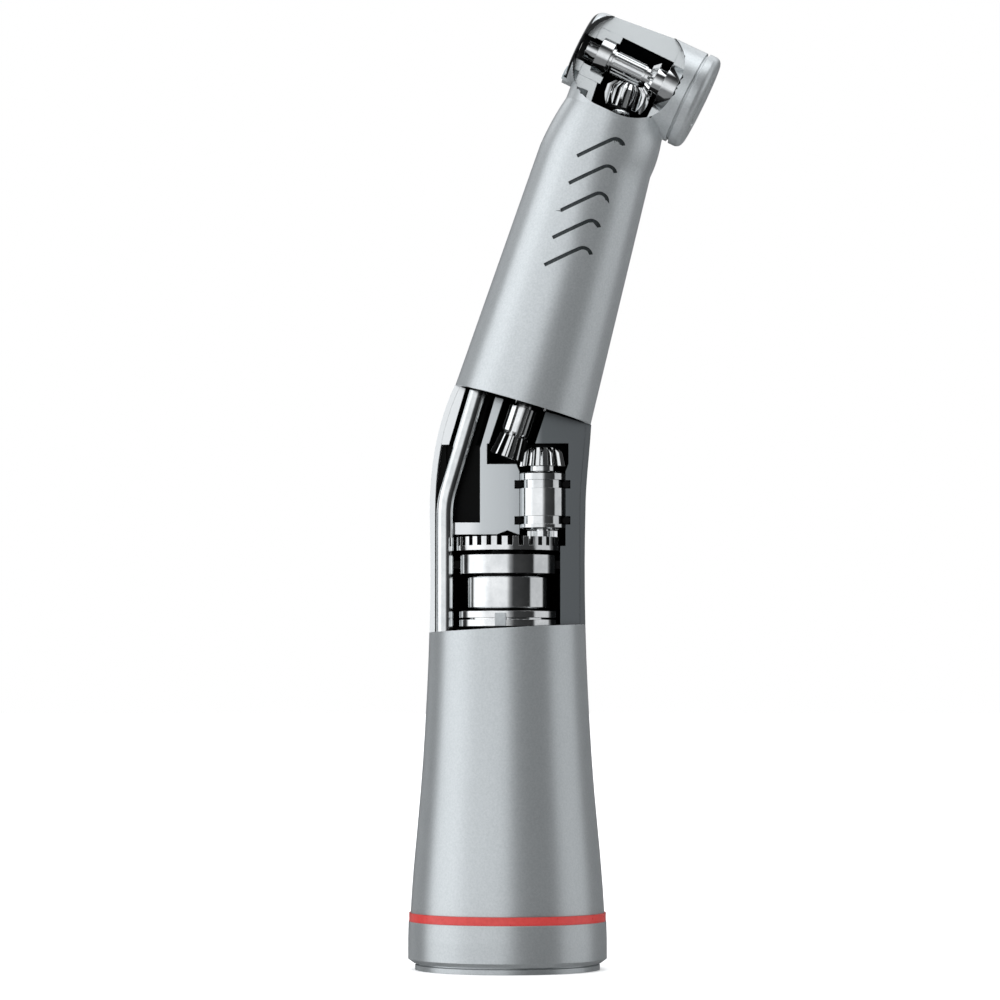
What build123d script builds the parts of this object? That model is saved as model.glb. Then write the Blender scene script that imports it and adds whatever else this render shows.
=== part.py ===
from build123d import *
import os
from math import acos, atan2, cos, pi, radians, sin, tan

# A speed-increasing contra-angle handpiece for fast cutting burs, built as the sectioned display
# piece: the front half of its casing is open at the bend, and a window is open in its head.
# +Z runs up the handle from the centre of its rear face. The neck leans towards +X.
# The open side faces -Y. All sizes are in millimetres.

os.makedirs("parts", exist_ok=True)

# ---- layout of the axes
BEND_Z = 51.0  # height at which the handle's axis and the neck's axis meet
NECK_TILT = 16.5  # lean of the neck's casing
SHAFT_TILT = 18.25  # lean of the shaft inside it
HEAD_DISTANCE = 40.7  # from the bend to the spindle, along the shaft
SPINDLE_TILT = 26.5  # how far the spindle dips towards its button end
OFFSET_AXIS = 3.5  # from the handle's axis to the intermediate shaft

# ---- casing
COLLAR_RADIUS = 9.9
COLLAR_HEIGHT = 4.8
COLOUR_RING_HEIGHT = 0.85
COLOUR_RING_RADIUS = 9.8
ENTRY_RADIUS = 7.7
SPIGOT_RADIUS = 8.6
SPIGOT_TOP = 9.0
COLLAR_STEPS = (  # how far in from the collar's radius its outside lies, and at which height
    (0.7, 0), (0.7, 0.5), (0.95, 0.55), (0.95, 0.7), (0.55, 0.7), (0, 1.1), (0, 3.0), (0.05, COLLAR_HEIGHT),
)
HANDLE_FOOT_RADIUS = 9.65
HANDLE_CURVE = ((9.2, 11.75), (8.65, 17.75), (8.15, 25.25), (7.85, 32.0))
HANDLE_WAIST_HEIGHT = 39.0
HANDLE_WAIST_RADIUS = 7.72
BEND_RADIUS = 7.8
BEND_REACH = 5.5  # the bend starts and ends this far from the axes' meeting point
BEND_TAPER = 0.68
BEND_STEPS = 4
SHELL_WALL = 0.55
CUT_HEIGHT = 33.9  # where the opened part of the handle starts
CUT_TILT = 2.9
NECK_FOOT_RADIUS = 7.05
NECK_TOP_RADIUS = 5.75
NECK_CONE_END = 31.0
NECK_WALL = 0.6
SEAM_DISTANCE = 5.4  # from the spindle's axis to the seam of head and neck
SEAM_RADIUS = 5.3
SEAM_SHIFT = 0.33
SHOULDER_SWELL = 0.1
CORE_GAP = 1.4  # the neck's core starts this far inside its sleeve
CORE_ENTRY = 1.0  # the mouth of the neck's sleeve is cleared from this far below its rim
OPENING_SIZE = 40.0  # larger than anything the openings cut

# ---- grip grooves on the neck
GROOVE_COUNT = 5
GROOVE_PITCH = 2.83
GROOVE_WIDTH = 0.36
GROOVE_DEPTH = 0.16
GROOVE_LOW = (-1.5, 30.4)
GROOVE_HIGH = (1.35, 32.95)
GROOVE_END = (2.6, 32.7)

# ---- coupling for the motor
COUPLING_RADIUS = 5.0
COUPLING_TOP = 22.5
DRIVER_PASSAGE_RADIUS = 3.4
SEAL_HEIGHT = 15.1
SEAL_WIRE = 0.35
SEAL_GROOVE_HALF = 0.5

# ---- drive shaft and its drum
RUNNING_GAP = 0.03
DRUM_CAVITY_RADIUS = 5.27
DRUM_CAVITY_FLOOR = 31.3
DRUM_CAVITY_TOP = 43.3
DRILL_POINT_RADIUS = 1.07
DRILL_POINT_HEIGHT = 0.42
DRIVE_SHAFT_RADIUS = 2.0
DRIVE_TAIL_RADIUS = 1.5
DRIVE_TAIL_END = 24.9
RING_TEETH = 30
RING_RADIUS = 5.15
RING_INNER_RADIUS = 4.5
RING_FLOOR = 41.65
RING_TOP = 43.0
RING_WEB = 0.35
RING_SLOT_WIDTH = 0.5
RING_SLOT_DEPTH = 0.88
DRIVE_BEARING_RADIUS = 4.85
DRIVE_BEARING_WIDTH = 1.85
DRIVE_BEARING_HEIGHTS = (32.6, 40.275)
DRIVE_BEARING_BALLS = 9
CUSHION_HEIGHT = 0.8  # of the rubber ring round each drive bearing
HUB_RADIUS = 2.9  # of the narrow ends that touch the inner races
SPACER_RADIUS = 4.2
SPACER_LIP = 0.3
SPACER_CHAMFER = 0.1
WASHER_RADIUS = 4.95
WASHER_THICKNESS = 0.65
NUT_GAP = 0.2
NUT_STANDOFF = 0.575
NUT_STEP = 0.9
TAB_WIDTH = 1.1
TAB_HEIGHT = 1.3
TAB_ANGLE = -95.0
TAB_REACH = 5.08
TAB_THICKNESS = 0.5

# ---- driver dog
DOG_RADIUS = 2.9
DOG_FLOOR = 25.2
DOG_TOP = 28.6
DOG_CLAW = 1.8
DRIVER_WIRE = 0.25
DRIVER_TURNS = 3.5
DRIVER_SPRING_PLAY = 0.02
DOG_SLOT = 2.6
DOG_BORE_STEP = 0.55
CIRCLIP_DEPTH = 0.15
CIRCLIP_HEIGHT = 0.28
CIRCLIP_REACH = 0.4
CIRCLIP_PLAY = 0.02

# ---- intermediate shaft
PINION_TEETH = 8
PINION_TIP_RADIUS = 1.5
PINION_ROOT_RADIUS = 0.92
PINION_TOOTH_WIDTH = 0.26
PINION_FLOOR = 42.15
PINION_TOP = 43.65
INTERMEDIATE_RADIUS = 0.75
CARTRIDGE_RADIUS = 2.26
CARTRIDGE_FLOOR = 43.8
CARTRIDGE_TOP = 49.5
CARTRIDGE_SEAT_RADIUS = 1.75
CARTRIDGE_FIT = 0.04
INTERMEDIATE_BEARING_WIDTH = 1.4
INTERMEDIATE_BEARING_INSET = 0.1
CARTRIDGE_CHAMFER = 0.15
ORING_WIRE = 0.4
ORING_PLAY = 0.01
ORING_HEIGHTS = (44.7, 48.3)
ORING_GROOVE_WIDTH = 0.82
ORING_GROOVE_DEPTH = 0.28
ORING_GROOVE_REACH = 0.13
CROWN_TEETH = 12
CROWN_FLOOR = 50.1
CROWN_TOP = 52.1
CROWN_COLLAR_RADIUS = 1.34
CROWN_COLLAR_FLOOR = 49.6
CROWN_NECK_RADIUS = 1.0
CROWN_NECK_DROP = 0.2
CROWN_RIM_RADIUS = 2.3
CROWN_RIM_HEIGHT = 0.55
CROWN_DOME = (1.85, 1.5)  # a point of the dome: radius, and height above the crown's floor
CROWN_FLAT_RADIUS = 0.85
CROWN_SHAFT_DEPTH = 0.5  # the shaft ends this far below the crown's top

# ---- neck shaft
NECK_PINION_TEETH = 10
NECK_PINION_FACE = 2.2
NECK_PINION_END = 5.2
NECK_PINION_HUB_RADIUS = 1.5
NECK_PINION_HUB_CHAMFER = (0.3, 0.4)
NECK_PINION_FLUTE = (0.7, 0.4)  # depth twice over, and width
NECK_BORE_RADIUS = 2.2
NECK_SHAFT_RADIUS = 0.9
NECK_BEARING_WIDTH = 1.6
NECK_BEARING_PLACES = (8.6, 34.0)
NECK_COLLAR_STEP = 0.25
SMALL_BEARING_BALLS = 8
SHAFT_START = 0.2

# ---- gears
PRESSURE_ANGLE = 25.0
ADDENDUM = 0.72
DEDENDUM = 1.0
TOOTH_SHARE = 0.42  # tooth thickness as a share of the pitch, the rest is the gap and its play
FLANK_STEPS = 4

# ---- head gears
NECK_GEAR_TEETH = 11
SPINDLE_GEAR_TEETH = 10
NECK_GEAR_RADIUS = 1.9
HEAD_GEAR_FACE_SHARE = 0.3
PETAL_LENGTH = 1.9
PETAL_DOME = 2.65
PETAL_RIM_RADIUS = 2.3
PETAL_SHOULDER = (1.95, 1.75)  # a point of the petals' dome: radius, and depth below the gear's foot
PETAL_EYE_RADIUS = 1.15
PETAL_BLANK_RADIUS = 3.0

# ---- head, along the spindle from the point where the shaft's axis meets it
HEAD_BUR_END = -6.1
HEAD_CAP_END = 5.85
HEAD_NOSE_FLAT = 2.9
HEAD_NOSE_ARC = (3.75, -5.72)
HEAD_NOSE_EDGE = (4.05, -4.9)
HEAD_BARREL = ((4.8, 2.4), (4.85, HEAD_CAP_END))
STUB_TOP = 1.5
STUB_SHIFT = -0.35
STUB_SIZE = (5.0, 4.2)
LENS_BOSS_WALL = 0.3
LENS_BOSS_LENGTH = 2.6
HEAD_BORE_RADIUS = 2.6
HEAD_BORE_FLOOR = -5.0
HEAD_BORE_TOP = 3.15
BUR_OPENING_RADIUS = 1.3
GEAR_CHAMBER_RADIUS = 3.2
WINDOW_CENTRE = -0.52
WINDOW_LENGTH = 10.7
WINDOW_HEIGHT = 10.2
WINDOW_CORNER = 4.4
CAP_SPIGOT_RADIUS = 4.0
CAP_RADIUS = 4.9
CAP_TOP = 7.45
CAP_GROOVE_RADIUS = 4.6
CAP_GROOVE_TOP = 0.25
CAP_RIM_FOOT = 0.3
CAP_RIM_TOP = 0.95
CAP_RIM_ARC = (4.72, 0.22)  # a point of the rounded rim: radius, and depth below the cap's top
CAP_FACE_RADIUS = 4.3
CAP_FLANGE_TOP = 6.3
CAP_BORE_RADIUS = 2.0
BUTTON_RADIUS = 3.0
BUTTON_FLANGE_RADIUS = 3.3
BUTTON_POCKET_FLOOR = 4.9
BUTTON_TRAVEL = 0.7
BUTTON_REST_GAP = 0.15
BUTTON_FLOOR = BUTTON_POCKET_FLOOR + BUTTON_TRAVEL + BUTTON_REST_GAP
BUTTON_WIRE = 0.12
BUTTON_COIL_RADIUS = 2.7
BUTTON_TURNS = 1.9
BUTTON_SPRING_PLAY = 0.01
BUTTON_FIT = 0.05
BUTTON_FLANGE_TOP = 6.25
BUTTON_CHAMFER = 0.15
REAR_BEARING_RADIUS = 2.4
REAR_BEARING_WIDTH = 1.4
REAR_BEARING_PLACE = 3.9
REAR_BEARING_BALLS = 8
FRONT_BEARING_RADIUS = 1.85
FRONT_BEARING_WIDTH = 1.3
FRONT_BEARING_PLACE = -3.4
FRONT_BEARING_BALLS = 9
NOSE_BUSH_BORE = 1.4
NOSE_BUSH_LIP = 0.2
SPINDLE_RADIUS = 1.12
SPINDLE_RIB_RADIUS = 1.22
SPINDLE_RIB_COUNT = 14
SPINDLE_FLANGE_RADIUS = 1.36
SPINDLE_FLANGE_WIDTH = 0.3
SPINDLE_FLUTE = (0.2, 0.26)  # depth twice over, and width
SPINDLE_FLUTE_INSET = 0.25
SPINDLE_GEAR_GAP = 0.35
SPINDLE_GEAR_HUB = 1.6
GEAR_HUB_GAP = 0.05
SPINDLE_STOP_RADIUS = 0.6  # the bore behind the collet, which the pusher passes through
SPINDLE_REACH = 0.1
COLLET_RADIUS = 0.95
COLLET_NOSE = -5.3
COLLET_END = 3.0
COLLET_SLOT = 0.18
COLLET_SLOT_LENGTH = 3.0
COLLET_SLOT_COUNT = 3
BUR_RADIUS = 0.8
PUSHER_RADIUS = 0.5
PUSHER_TIP = 3.9
PUSHER_HEAD_RADIUS = 1.2
PUSHER_HEAD_FLOOR = 5.45

# ---- light, water and air
GUIDE_RADIUS = 0.93
GUIDE_X = -6.2
GUIDE_NECK_OFFSET = -4.69
GUIDE_START = 31.6
GUIDE_END = 9.0
GUIDE_BEND = 9.0
GUIDE_FIT = 0.02
GUIDE_MOUTH = 2.0
ROD_RADIUS = 0.7
ROD_BEND = 12.0
ROD_PLACES = ((-3.55, 33.5), (-3.4, 37.6))  # sideways and up the neck
LENS_RADIUS = 0.75
LENS_DROP = 3.1
LENS_INSET = 0.1
LENS_FACE = 0.2
LENS_DEPTH = 1.0
LINE_RADIUS = 0.4
LINE_BEND = 12.0
LINE_SIDE = 1.6
LINE_DEPTH = 6.0
LINE_BEND_Z = 49.0
LINE_HEAD_SIDE = 1.4
LINE_HEAD_DEPTH = 3.6
LINE_HEAD_PLACE = 36.8

# ---- chambers milled into the core
POCKET_FLOOR = 44.5
POCKET_TOP = 52.3
POCKET_RIGHT = -2.75
POCKET_DEPTH = 1.6
CHANNEL_INNER = -2.9
CHANNEL_OUTER = -6.0
CHANNEL_START = -1.2
CHANNEL_CORNER = 0.7
CHAMBER_LEFT = -2.05
CHAMBER_RIGHT = 6.1
CHAMBER_FLOOR = 50.35
CHAMBER_TOP = 52.4
CHAMBER_DEPTH = 2.5
CHAMBER_CORNER = 2.3
FUNNEL_RADIUS = 2.6


def leaning(origin, tilt):
    """A plane whose normal leans from +Z towards +X by tilt degrees."""
    turn = radians(tilt)
    return Plane(origin=origin, x_dir=(cos(turn), 0, -sin(turn)), z_dir=(sin(turn), 0, cos(turn)))


def side_of(plane):
    """The plane that holds a turned outline: its x is the radius and its y runs along the axis."""
    return Plane(origin=plane.origin, x_dir=plane.x_dir, z_dir=-plane.y_dir)


def axis_of(plane):
    """The axis that a turned piece on this plane is spun about."""
    return Axis(plane.origin, plane.z_dir)


def outline(plane, points):
    """A closed outline of (radius, height) points, ready to be spun."""
    with BuildSketch(side_of(plane)) as profile:
        with BuildLine():
            Polyline(*points, close=True)
        make_face()
    return profile.sketch


def place(plane, x, y, z):
    """A point given in a plane's own coordinates."""
    return plane.from_local_coords(Vector(x, y, z))


def tube(points, bend_radius, radius):
    """A round rod along straight runs that are joined by tangent arcs."""
    with BuildLine() as route:
        if len(points) > 2:
            FilletPolyline(*points, radius=bend_radius)
        else:
            Line(*points)
    path = route.wire()
    with BuildSketch(Plane(origin=path.position_at(0), z_dir=path.tangent_at(0))) as section:
        Circle(radius)
    with BuildPart() as rod:
        sweep(section.sketch, path=path)
    return rod.part


def coil(plane, floor, height, radius, turns, wire):
    """A round-wire compression spring."""
    with BuildLine() as route:
        Helix(pitch=height / turns, height=height, radius=radius,
              center=plane.offset(floor).origin, direction=plane.z_dir)
    path = route.wire()
    with BuildSketch(Plane(origin=path.position_at(0), z_dir=path.tangent_at(0))) as section:
        Circle(wire)
    with BuildPart() as spring:
        sweep(section.sketch, path=path, is_frenet=True)
    return spring.part


def ball_bearing(places, bore, outside, width, ball_count):
    """Outer races, inner races and caged balls of equal bearings centred on the places given."""
    pitch = (bore + outside) / 2
    ball = (outside - bore) * 0.27
    shoulder = ball * 0.55
    cage = ball * 0.3
    pocket = ball + RUNNING_GAP
    cage_height = width / 2 + pocket
    with BuildPart(*places) as outer:
        Cylinder(outside, width)
        Cylinder(pitch + shoulder, width, mode=Mode.SUBTRACT)
        Torus(pitch, ball + RUNNING_GAP / 2, mode=Mode.SUBTRACT)
    with BuildPart(*places) as inner:
        Cylinder(pitch - shoulder, width)
        Cylinder(bore, width, mode=Mode.SUBTRACT)
        Torus(pitch, ball + RUNNING_GAP / 2, mode=Mode.SUBTRACT)
    with BuildPart(*places) as balls:
        Cylinder(pitch + cage, cage_height)
        Cylinder(pitch - cage, cage_height, mode=Mode.SUBTRACT)
        with PolarLocations(pitch, ball_count):
            Cylinder(pocket, 4 * ball, rotation=(0, 90, 0), mode=Mode.SUBTRACT)
        with PolarLocations(pitch, ball_count):
            Sphere(ball)
    return outer.part, inner.part, balls.part


def involute(angle):
    return tan(angle) - angle


def gear_outline(plane, teeth, pitch_radius, cone_angle, phase):
    """The outline of a bevel gear's teeth, involute on its back cone, where a flat plane cuts it."""
    virtual_radius = pitch_radius / cos(cone_angle)
    module = 2 * pitch_radius / teeth
    base = virtual_radius * cos(radians(PRESSURE_ANGLE))
    root = virtual_radius - DEDENDUM * module
    tip = virtual_radius + ADDENDUM * module
    half_tooth = TOOTH_SHARE * pi * module / (2 * virtual_radius)
    start = max(root, base)
    flank = []
    for step in range(FLANK_STEPS + 1):
        radius = start + (tip - start) * step / FLANK_STEPS
        half = half_tooth + involute(radians(PRESSURE_ANGLE)) - involute(acos(min(1, base / radius)))
        flank.append((radius, half))
    if root < base:
        flank.insert(0, (root, flank[0][1]))
    points = []
    for tooth in range(teeth):
        centre = phase + 2 * pi * tooth / teeth
        both_flanks = [(radius, -half) for radius, half in flank]
        both_flanks += [(radius, half) for radius, half in reversed(flank)]
        for radius, half in both_flanks:
            rise = (radius - virtual_radius) * sin(cone_angle) * tan(cone_angle) / pitch_radius
            reach = radius * cos(cone_angle) / (1 - rise)
            angle = centre + half / cos(cone_angle)
            points.append((reach * cos(angle), reach * sin(angle)))
    with BuildSketch(plane) as gear:
        with BuildLine():
            Polyline(*points, close=True)
        make_face()
    return gear.sketch


def bend_body(wall):
    """The bend as a solid whose round sections turn about one centre and shrink into the neck."""
    turn_radius = BEND_REACH / tan(radians(NECK_TILT) / 2)
    with BuildPart() as bend:
        for step in range(BEND_STEPS + 1):
            share = step / BEND_STEPS
            turn = NECK_TILT * share
            x = turn_radius * (1 - cos(radians(turn)))
            z = BEND_Z - BEND_REACH + turn_radius * sin(radians(turn))
            with BuildSketch(leaning((x, 0, z), turn)):
                Circle(BEND_RADIUS - BEND_TAPER * share**3 - wall)
        loft()
    return bend.part


def neck_body(wall):
    """The neck as a solid: a slim cone whose top turns and rounds into the head's seam."""
    cone_top = place(NECK, 0, 0, NECK_CONE_END)
    seam_middle = place(SEAM, SEAM_SHIFT, 0, 0)
    half_way = (cone_top + seam_middle) * 0.5
    half_tilt = (NECK_TILT + SPINDLE_TILT) / 2
    with BuildPart() as neck:
        revolve(outline(NECK, [
            (0, BEND_REACH), (NECK_FOOT_RADIUS - wall, BEND_REACH),
            (NECK_TOP_RADIUS - wall, NECK_CONE_END), (0, NECK_CONE_END),
        ]), axis=axis_of(NECK))
        with BuildSketch(NECK.offset(NECK_CONE_END)):
            Circle(NECK_TOP_RADIUS - wall)
        with BuildSketch(leaning(half_way, half_tilt)):
            Circle((NECK_TOP_RADIUS + SEAM_RADIUS) / 2 + SHOULDER_SWELL - wall)
        with BuildSketch(SEAM):
            with Locations((SEAM_SHIFT, 0)):
                Circle(SEAM_RADIUS - wall)
        loft()
    return neck.part


HANDLE = Plane.XY
NECK = leaning((0, 0, BEND_Z), NECK_TILT)
SHAFT = leaning((0, 0, BEND_Z), SHAFT_TILT)
INTERMEDIATE = Plane(origin=(OFFSET_AXIS, 0, 0))
spindle_turn = radians(SPINDLE_TILT)
HEAD = Plane(
    origin=SHAFT.offset(HEAD_DISTANCE).origin,
    x_dir=(-sin(spindle_turn), 0, -cos(spindle_turn)),
    z_dir=(cos(spindle_turn), 0, -sin(spindle_turn)),
)
SEAM = Plane(origin=place(HEAD, SEAM_DISTANCE, 0, 0), x_dir=HEAD.z_dir, z_dir=-HEAD.x_dir)

# The opening at the bend: everything in front of the middle plane and above the tilted cut.
cut_turn = radians(CUT_TILT)
CUT = Plane(origin=(0, 0, CUT_HEIGHT), x_dir=(cos(cut_turn), 0, sin(cut_turn)),
            z_dir=(-sin(cut_turn), 0, cos(cut_turn)))
with BuildPart(CUT) as front_opening:
    Box(OPENING_SIZE, OPENING_SIZE, OPENING_SIZE, align=(Align.CENTER, Align.MAX, Align.MIN))
WINDOW = Plane(origin=place(HEAD, 0, 0, WINDOW_CENTRE), x_dir=HEAD.z_dir, z_dir=(0, -1, 0))
with BuildPart() as head_window:
    with BuildSketch(WINDOW):
        RectangleRounded(WINDOW_LENGTH, WINDOW_HEIGHT, WINDOW_CORNER)
    extrude(amount=OPENING_SIZE)

# ---- light guide, and the water and air lines
guide_corner_z = BEND_Z + (GUIDE_X * cos(radians(NECK_TILT)) - GUIDE_NECK_OFFSET) / sin(radians(NECK_TILT))
guide_points = [
    (GUIDE_X, 0, GUIDE_START),
    (GUIDE_X, 0, guide_corner_z),
    place(NECK, GUIDE_NECK_OFFSET, 0, GUIDE_END),
]
rod_points = [
    place(NECK, GUIDE_NECK_OFFSET, 0, GUIDE_END),
    *[place(NECK, sideways, 0, up) for sideways, up in ROD_PLACES],
]
line_points = {}
for line_name, side in (("water_tube", 1), ("air_tube", -1)):
    line_points[line_name] = [
        (side * LINE_SIDE, LINE_DEPTH, COUPLING_TOP),
        (side * LINE_SIDE, LINE_DEPTH, LINE_BEND_Z),
        place(NECK, side * LINE_HEAD_SIDE, LINE_HEAD_DEPTH, LINE_HEAD_PLACE),
    ]

with BuildPart() as light_guide:
    add(tube(guide_points, GUIDE_BEND, GUIDE_RADIUS))
light_guide.part.label = "light_guide"
export_step(light_guide.part, "parts/light_guide.step")

with BuildPart() as light_rod:
    add(tube(rod_points, ROD_BEND, ROD_RADIUS))
light_rod.part.label = "light_rod"
export_step(light_rod.part, "parts/light_rod.step")

lines = {}
for line_name, points in line_points.items():
    with BuildPart() as line:
        add(tube(points, LINE_BEND, LINE_RADIUS))
    lines[line_name] = line.part
    line.part.label = line_name
    export_step(line.part, f"parts/{line_name}.step")

# ---- rear casing
ring_top = COLLAR_HEIGHT + COLOUR_RING_HEIGHT
with BuildPart() as end_collar:
    revolve(outline(HANDLE, [
        (ENTRY_RADIUS, 0), *[(COLLAR_RADIUS - inset, height) for inset, height in COLLAR_STEPS],
        (SPIGOT_RADIUS, COLLAR_HEIGHT), (SPIGOT_RADIUS, SPIGOT_TOP), (ENTRY_RADIUS, SPIGOT_TOP),
    ]), axis=Axis.Z)
end_collar.part.label = "end_collar"
export_step(end_collar.part, "parts/end_collar.step")

with BuildPart() as colour_ring:
    with BuildSketch(HANDLE.offset(COLLAR_HEIGHT)):
        Circle(COLOUR_RING_RADIUS)
        Circle(SPIGOT_RADIUS, mode=Mode.SUBTRACT)
    extrude(amount=COLOUR_RING_HEIGHT)
colour_ring.part.label = "colour_ring"
export_step(colour_ring.part, "parts/colour_ring.step")

inner_radius = BEND_RADIUS - SHELL_WALL
bend_start = BEND_Z - BEND_REACH
with BuildPart() as rear_sleeve:
    with BuildSketch(side_of(HANDLE)):
        with BuildLine():
            Spline((HANDLE_FOOT_RADIUS, ring_top), *HANDLE_CURVE,
                   (HANDLE_WAIST_RADIUS, HANDLE_WAIST_HEIGHT), (BEND_RADIUS, bend_start))
            Polyline((BEND_RADIUS, bend_start), (inner_radius, bend_start),
                     (inner_radius, COUPLING_TOP), (ENTRY_RADIUS, COUPLING_TOP),
                     (ENTRY_RADIUS, SPIGOT_TOP), (SPIGOT_RADIUS, SPIGOT_TOP),
                     (SPIGOT_RADIUS, ring_top), (HANDLE_FOOT_RADIUS, ring_top))
        make_face()
    revolve(axis=Axis.Z)
    add(bend_body(0) - bend_body(SHELL_WALL))
    add(front_opening.part, mode=Mode.SUBTRACT)
rear_sleeve.part.label = "rear_sleeve"
export_step(rear_sleeve.part, "parts/rear_sleeve.step")

groove_floor = SEAL_HEIGHT - SEAL_GROOVE_HALF
groove_top = SEAL_HEIGHT + SEAL_GROOVE_HALF
with BuildPart() as coupling_bush:
    revolve(outline(HANDLE, [
        (COUPLING_RADIUS, SPIGOT_TOP), (ENTRY_RADIUS, SPIGOT_TOP), (ENTRY_RADIUS, groove_floor),
        (ENTRY_RADIUS - 2 * SEAL_WIRE, groove_floor), (ENTRY_RADIUS - 2 * SEAL_WIRE, groove_top),
        (ENTRY_RADIUS, groove_top),
        (ENTRY_RADIUS, COUPLING_TOP), (COUPLING_RADIUS, COUPLING_TOP),
    ]), axis=Axis.Z)
coupling_bush.part.label = "coupling_bush"
export_step(coupling_bush.part, "parts/coupling_bush.step")

with BuildPart(HANDLE.offset(SEAL_HEIGHT)) as coupling_seal:
    Torus(ENTRY_RADIUS - SEAL_WIRE, SEAL_WIRE)
coupling_seal.part.label = "coupling_seal"
export_step(coupling_seal.part, "parts/coupling_seal.step")

# ---- core housing: one milled block that fills the sleeve from the coupling to the end of the bend
with BuildPart() as core_housing:
    with BuildSketch(HANDLE.offset(COUPLING_TOP)):
        Circle(inner_radius)
    extrude(amount=bend_start - COUPLING_TOP)
    add(bend_body(SHELL_WALL))
    revolve(outline(HANDLE, [
        (0, COUPLING_TOP), (DRIVER_PASSAGE_RADIUS, COUPLING_TOP),
        (DRIVER_PASSAGE_RADIUS, DRUM_CAVITY_FLOOR), (DRUM_CAVITY_RADIUS, DRUM_CAVITY_FLOOR),
        (DRUM_CAVITY_RADIUS, DRUM_CAVITY_TOP), (DRILL_POINT_RADIUS, DRUM_CAVITY_TOP),
        (0, DRUM_CAVITY_TOP + DRILL_POINT_HEIGHT),
    ]), axis=Axis.Z, mode=Mode.SUBTRACT)
    # the bore of the cartridge, with a groove for each of its seals and a funnel at its mouth
    revolve(outline(INTERMEDIATE, [
        (0, PINION_FLOOR), (CARTRIDGE_RADIUS + CARTRIDGE_FIT, PINION_FLOOR),
        (CARTRIDGE_RADIUS + CARTRIDGE_FIT, CROWN_COLLAR_FLOOR), (FUNNEL_RADIUS, CHAMBER_FLOOR),
        (0, CHAMBER_FLOOR),
    ]), axis=axis_of(INTERMEDIATE), mode=Mode.SUBTRACT)
    with BuildSketch(*[INTERMEDIATE.offset(height - ORING_GROOVE_WIDTH / 2) for height in ORING_HEIGHTS]):
        Circle(CARTRIDGE_RADIUS + ORING_WIRE + ORING_GROOVE_REACH)
    extrude(amount=ORING_GROOVE_WIDTH, mode=Mode.SUBTRACT)
    # the chamber in which the crown gear meets the neck's pinion
    with BuildSketch(HANDLE.offset(CHAMBER_FLOOR)):
        with Locations(((CHAMBER_LEFT + CHAMBER_RIGHT) / 2, 0)):
            RectangleRounded(CHAMBER_RIGHT - CHAMBER_LEFT, 2 * CHAMBER_DEPTH, CHAMBER_CORNER)
    extrude(amount=CHAMBER_TOP - CHAMBER_FLOOR, mode=Mode.SUBTRACT)
    with BuildSketch(SHAFT):
        Circle(NECK_BORE_RADIUS)
    extrude(amount=2 * BEND_REACH, mode=Mode.SUBTRACT)
    # the groove of the light guide, the pocket beside it and the slanting channel above them
    with BuildSketch(HANDLE.offset(GUIDE_START)):
        with Locations((GUIDE_X - GUIDE_MOUTH / 2, 0)):
            Rectangle(GUIDE_MOUTH, 2 * (GUIDE_RADIUS + GUIDE_FIT))
        with Locations((GUIDE_X, 0)):
            Circle(GUIDE_RADIUS + GUIDE_FIT)
    extrude(amount=POCKET_TOP - GUIDE_START, mode=Mode.SUBTRACT)
    with BuildSketch(HANDLE.offset(POCKET_FLOOR)):
        with Locations(((GUIDE_X + POCKET_RIGHT) / 2, 0)):
            Rectangle(POCKET_RIGHT - GUIDE_X, 2 * POCKET_DEPTH)
    extrude(amount=POCKET_TOP - POCKET_FLOOR, mode=Mode.SUBTRACT)
    with BuildSketch(NECK.offset(CHANNEL_START)):
        with Locations(((CHANNEL_INNER + CHANNEL_OUTER) / 2, 0)):
            RectangleRounded(CHANNEL_INNER - CHANNEL_OUTER, 2 * POCKET_DEPTH, CHANNEL_CORNER)
    extrude(amount=2 * BEND_REACH, mode=Mode.SUBTRACT)
    for part_of_line in lines.values():
        add(part_of_line, mode=Mode.SUBTRACT)
    add(front_opening.part, mode=Mode.SUBTRACT)
core_housing.part.label = "core_housing"
export_step(core_housing.part, "parts/core_housing.step")

# ---- drive shaft, drum and their bearings
clip_seat = DRIVE_TAIL_RADIUS - CIRCLIP_DEPTH
with BuildPart() as drive_shaft:
    revolve(outline(HANDLE, [
        (0, DRIVE_TAIL_END), (clip_seat, DRIVE_TAIL_END), (clip_seat, DRIVE_TAIL_END + CIRCLIP_HEIGHT),
        (DRIVE_TAIL_RADIUS, DRIVE_TAIL_END + CIRCLIP_HEIGHT),
        (DRIVE_TAIL_RADIUS, DRUM_CAVITY_FLOOR), (DRIVE_SHAFT_RADIUS, DRUM_CAVITY_FLOOR),
        (DRIVE_SHAFT_RADIUS, RING_FLOOR + RING_WEB), (0, RING_FLOOR + RING_WEB),
    ]), axis=Axis.Z)
drive_shaft.part.label = "drive_shaft"
export_step(drive_shaft.part, "parts/drive_shaft.step")

with BuildPart() as ring_gear:
    revolve(outline(HANDLE, [
        (DRIVE_SHAFT_RADIUS, RING_FLOOR), (RING_RADIUS, RING_FLOOR), (RING_RADIUS, RING_TOP),
        (RING_INNER_RADIUS, RING_TOP), (RING_INNER_RADIUS, RING_FLOOR + RING_WEB),
        (DRIVE_SHAFT_RADIUS, RING_FLOOR + RING_WEB),
    ]), axis=Axis.Z)
    with BuildSketch(HANDLE.offset(RING_TOP - RING_SLOT_DEPTH)):
        with PolarLocations((RING_RADIUS + RING_INNER_RADIUS) / 2, RING_TEETH):
            Rectangle(2 * (RING_RADIUS - RING_INNER_RADIUS), RING_SLOT_WIDTH)
    extrude(amount=2 * RING_SLOT_DEPTH, mode=Mode.SUBTRACT)
ring_gear.part.label = "ring_gear"
export_step(ring_gear.part, "parts/ring_gear.step")

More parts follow.
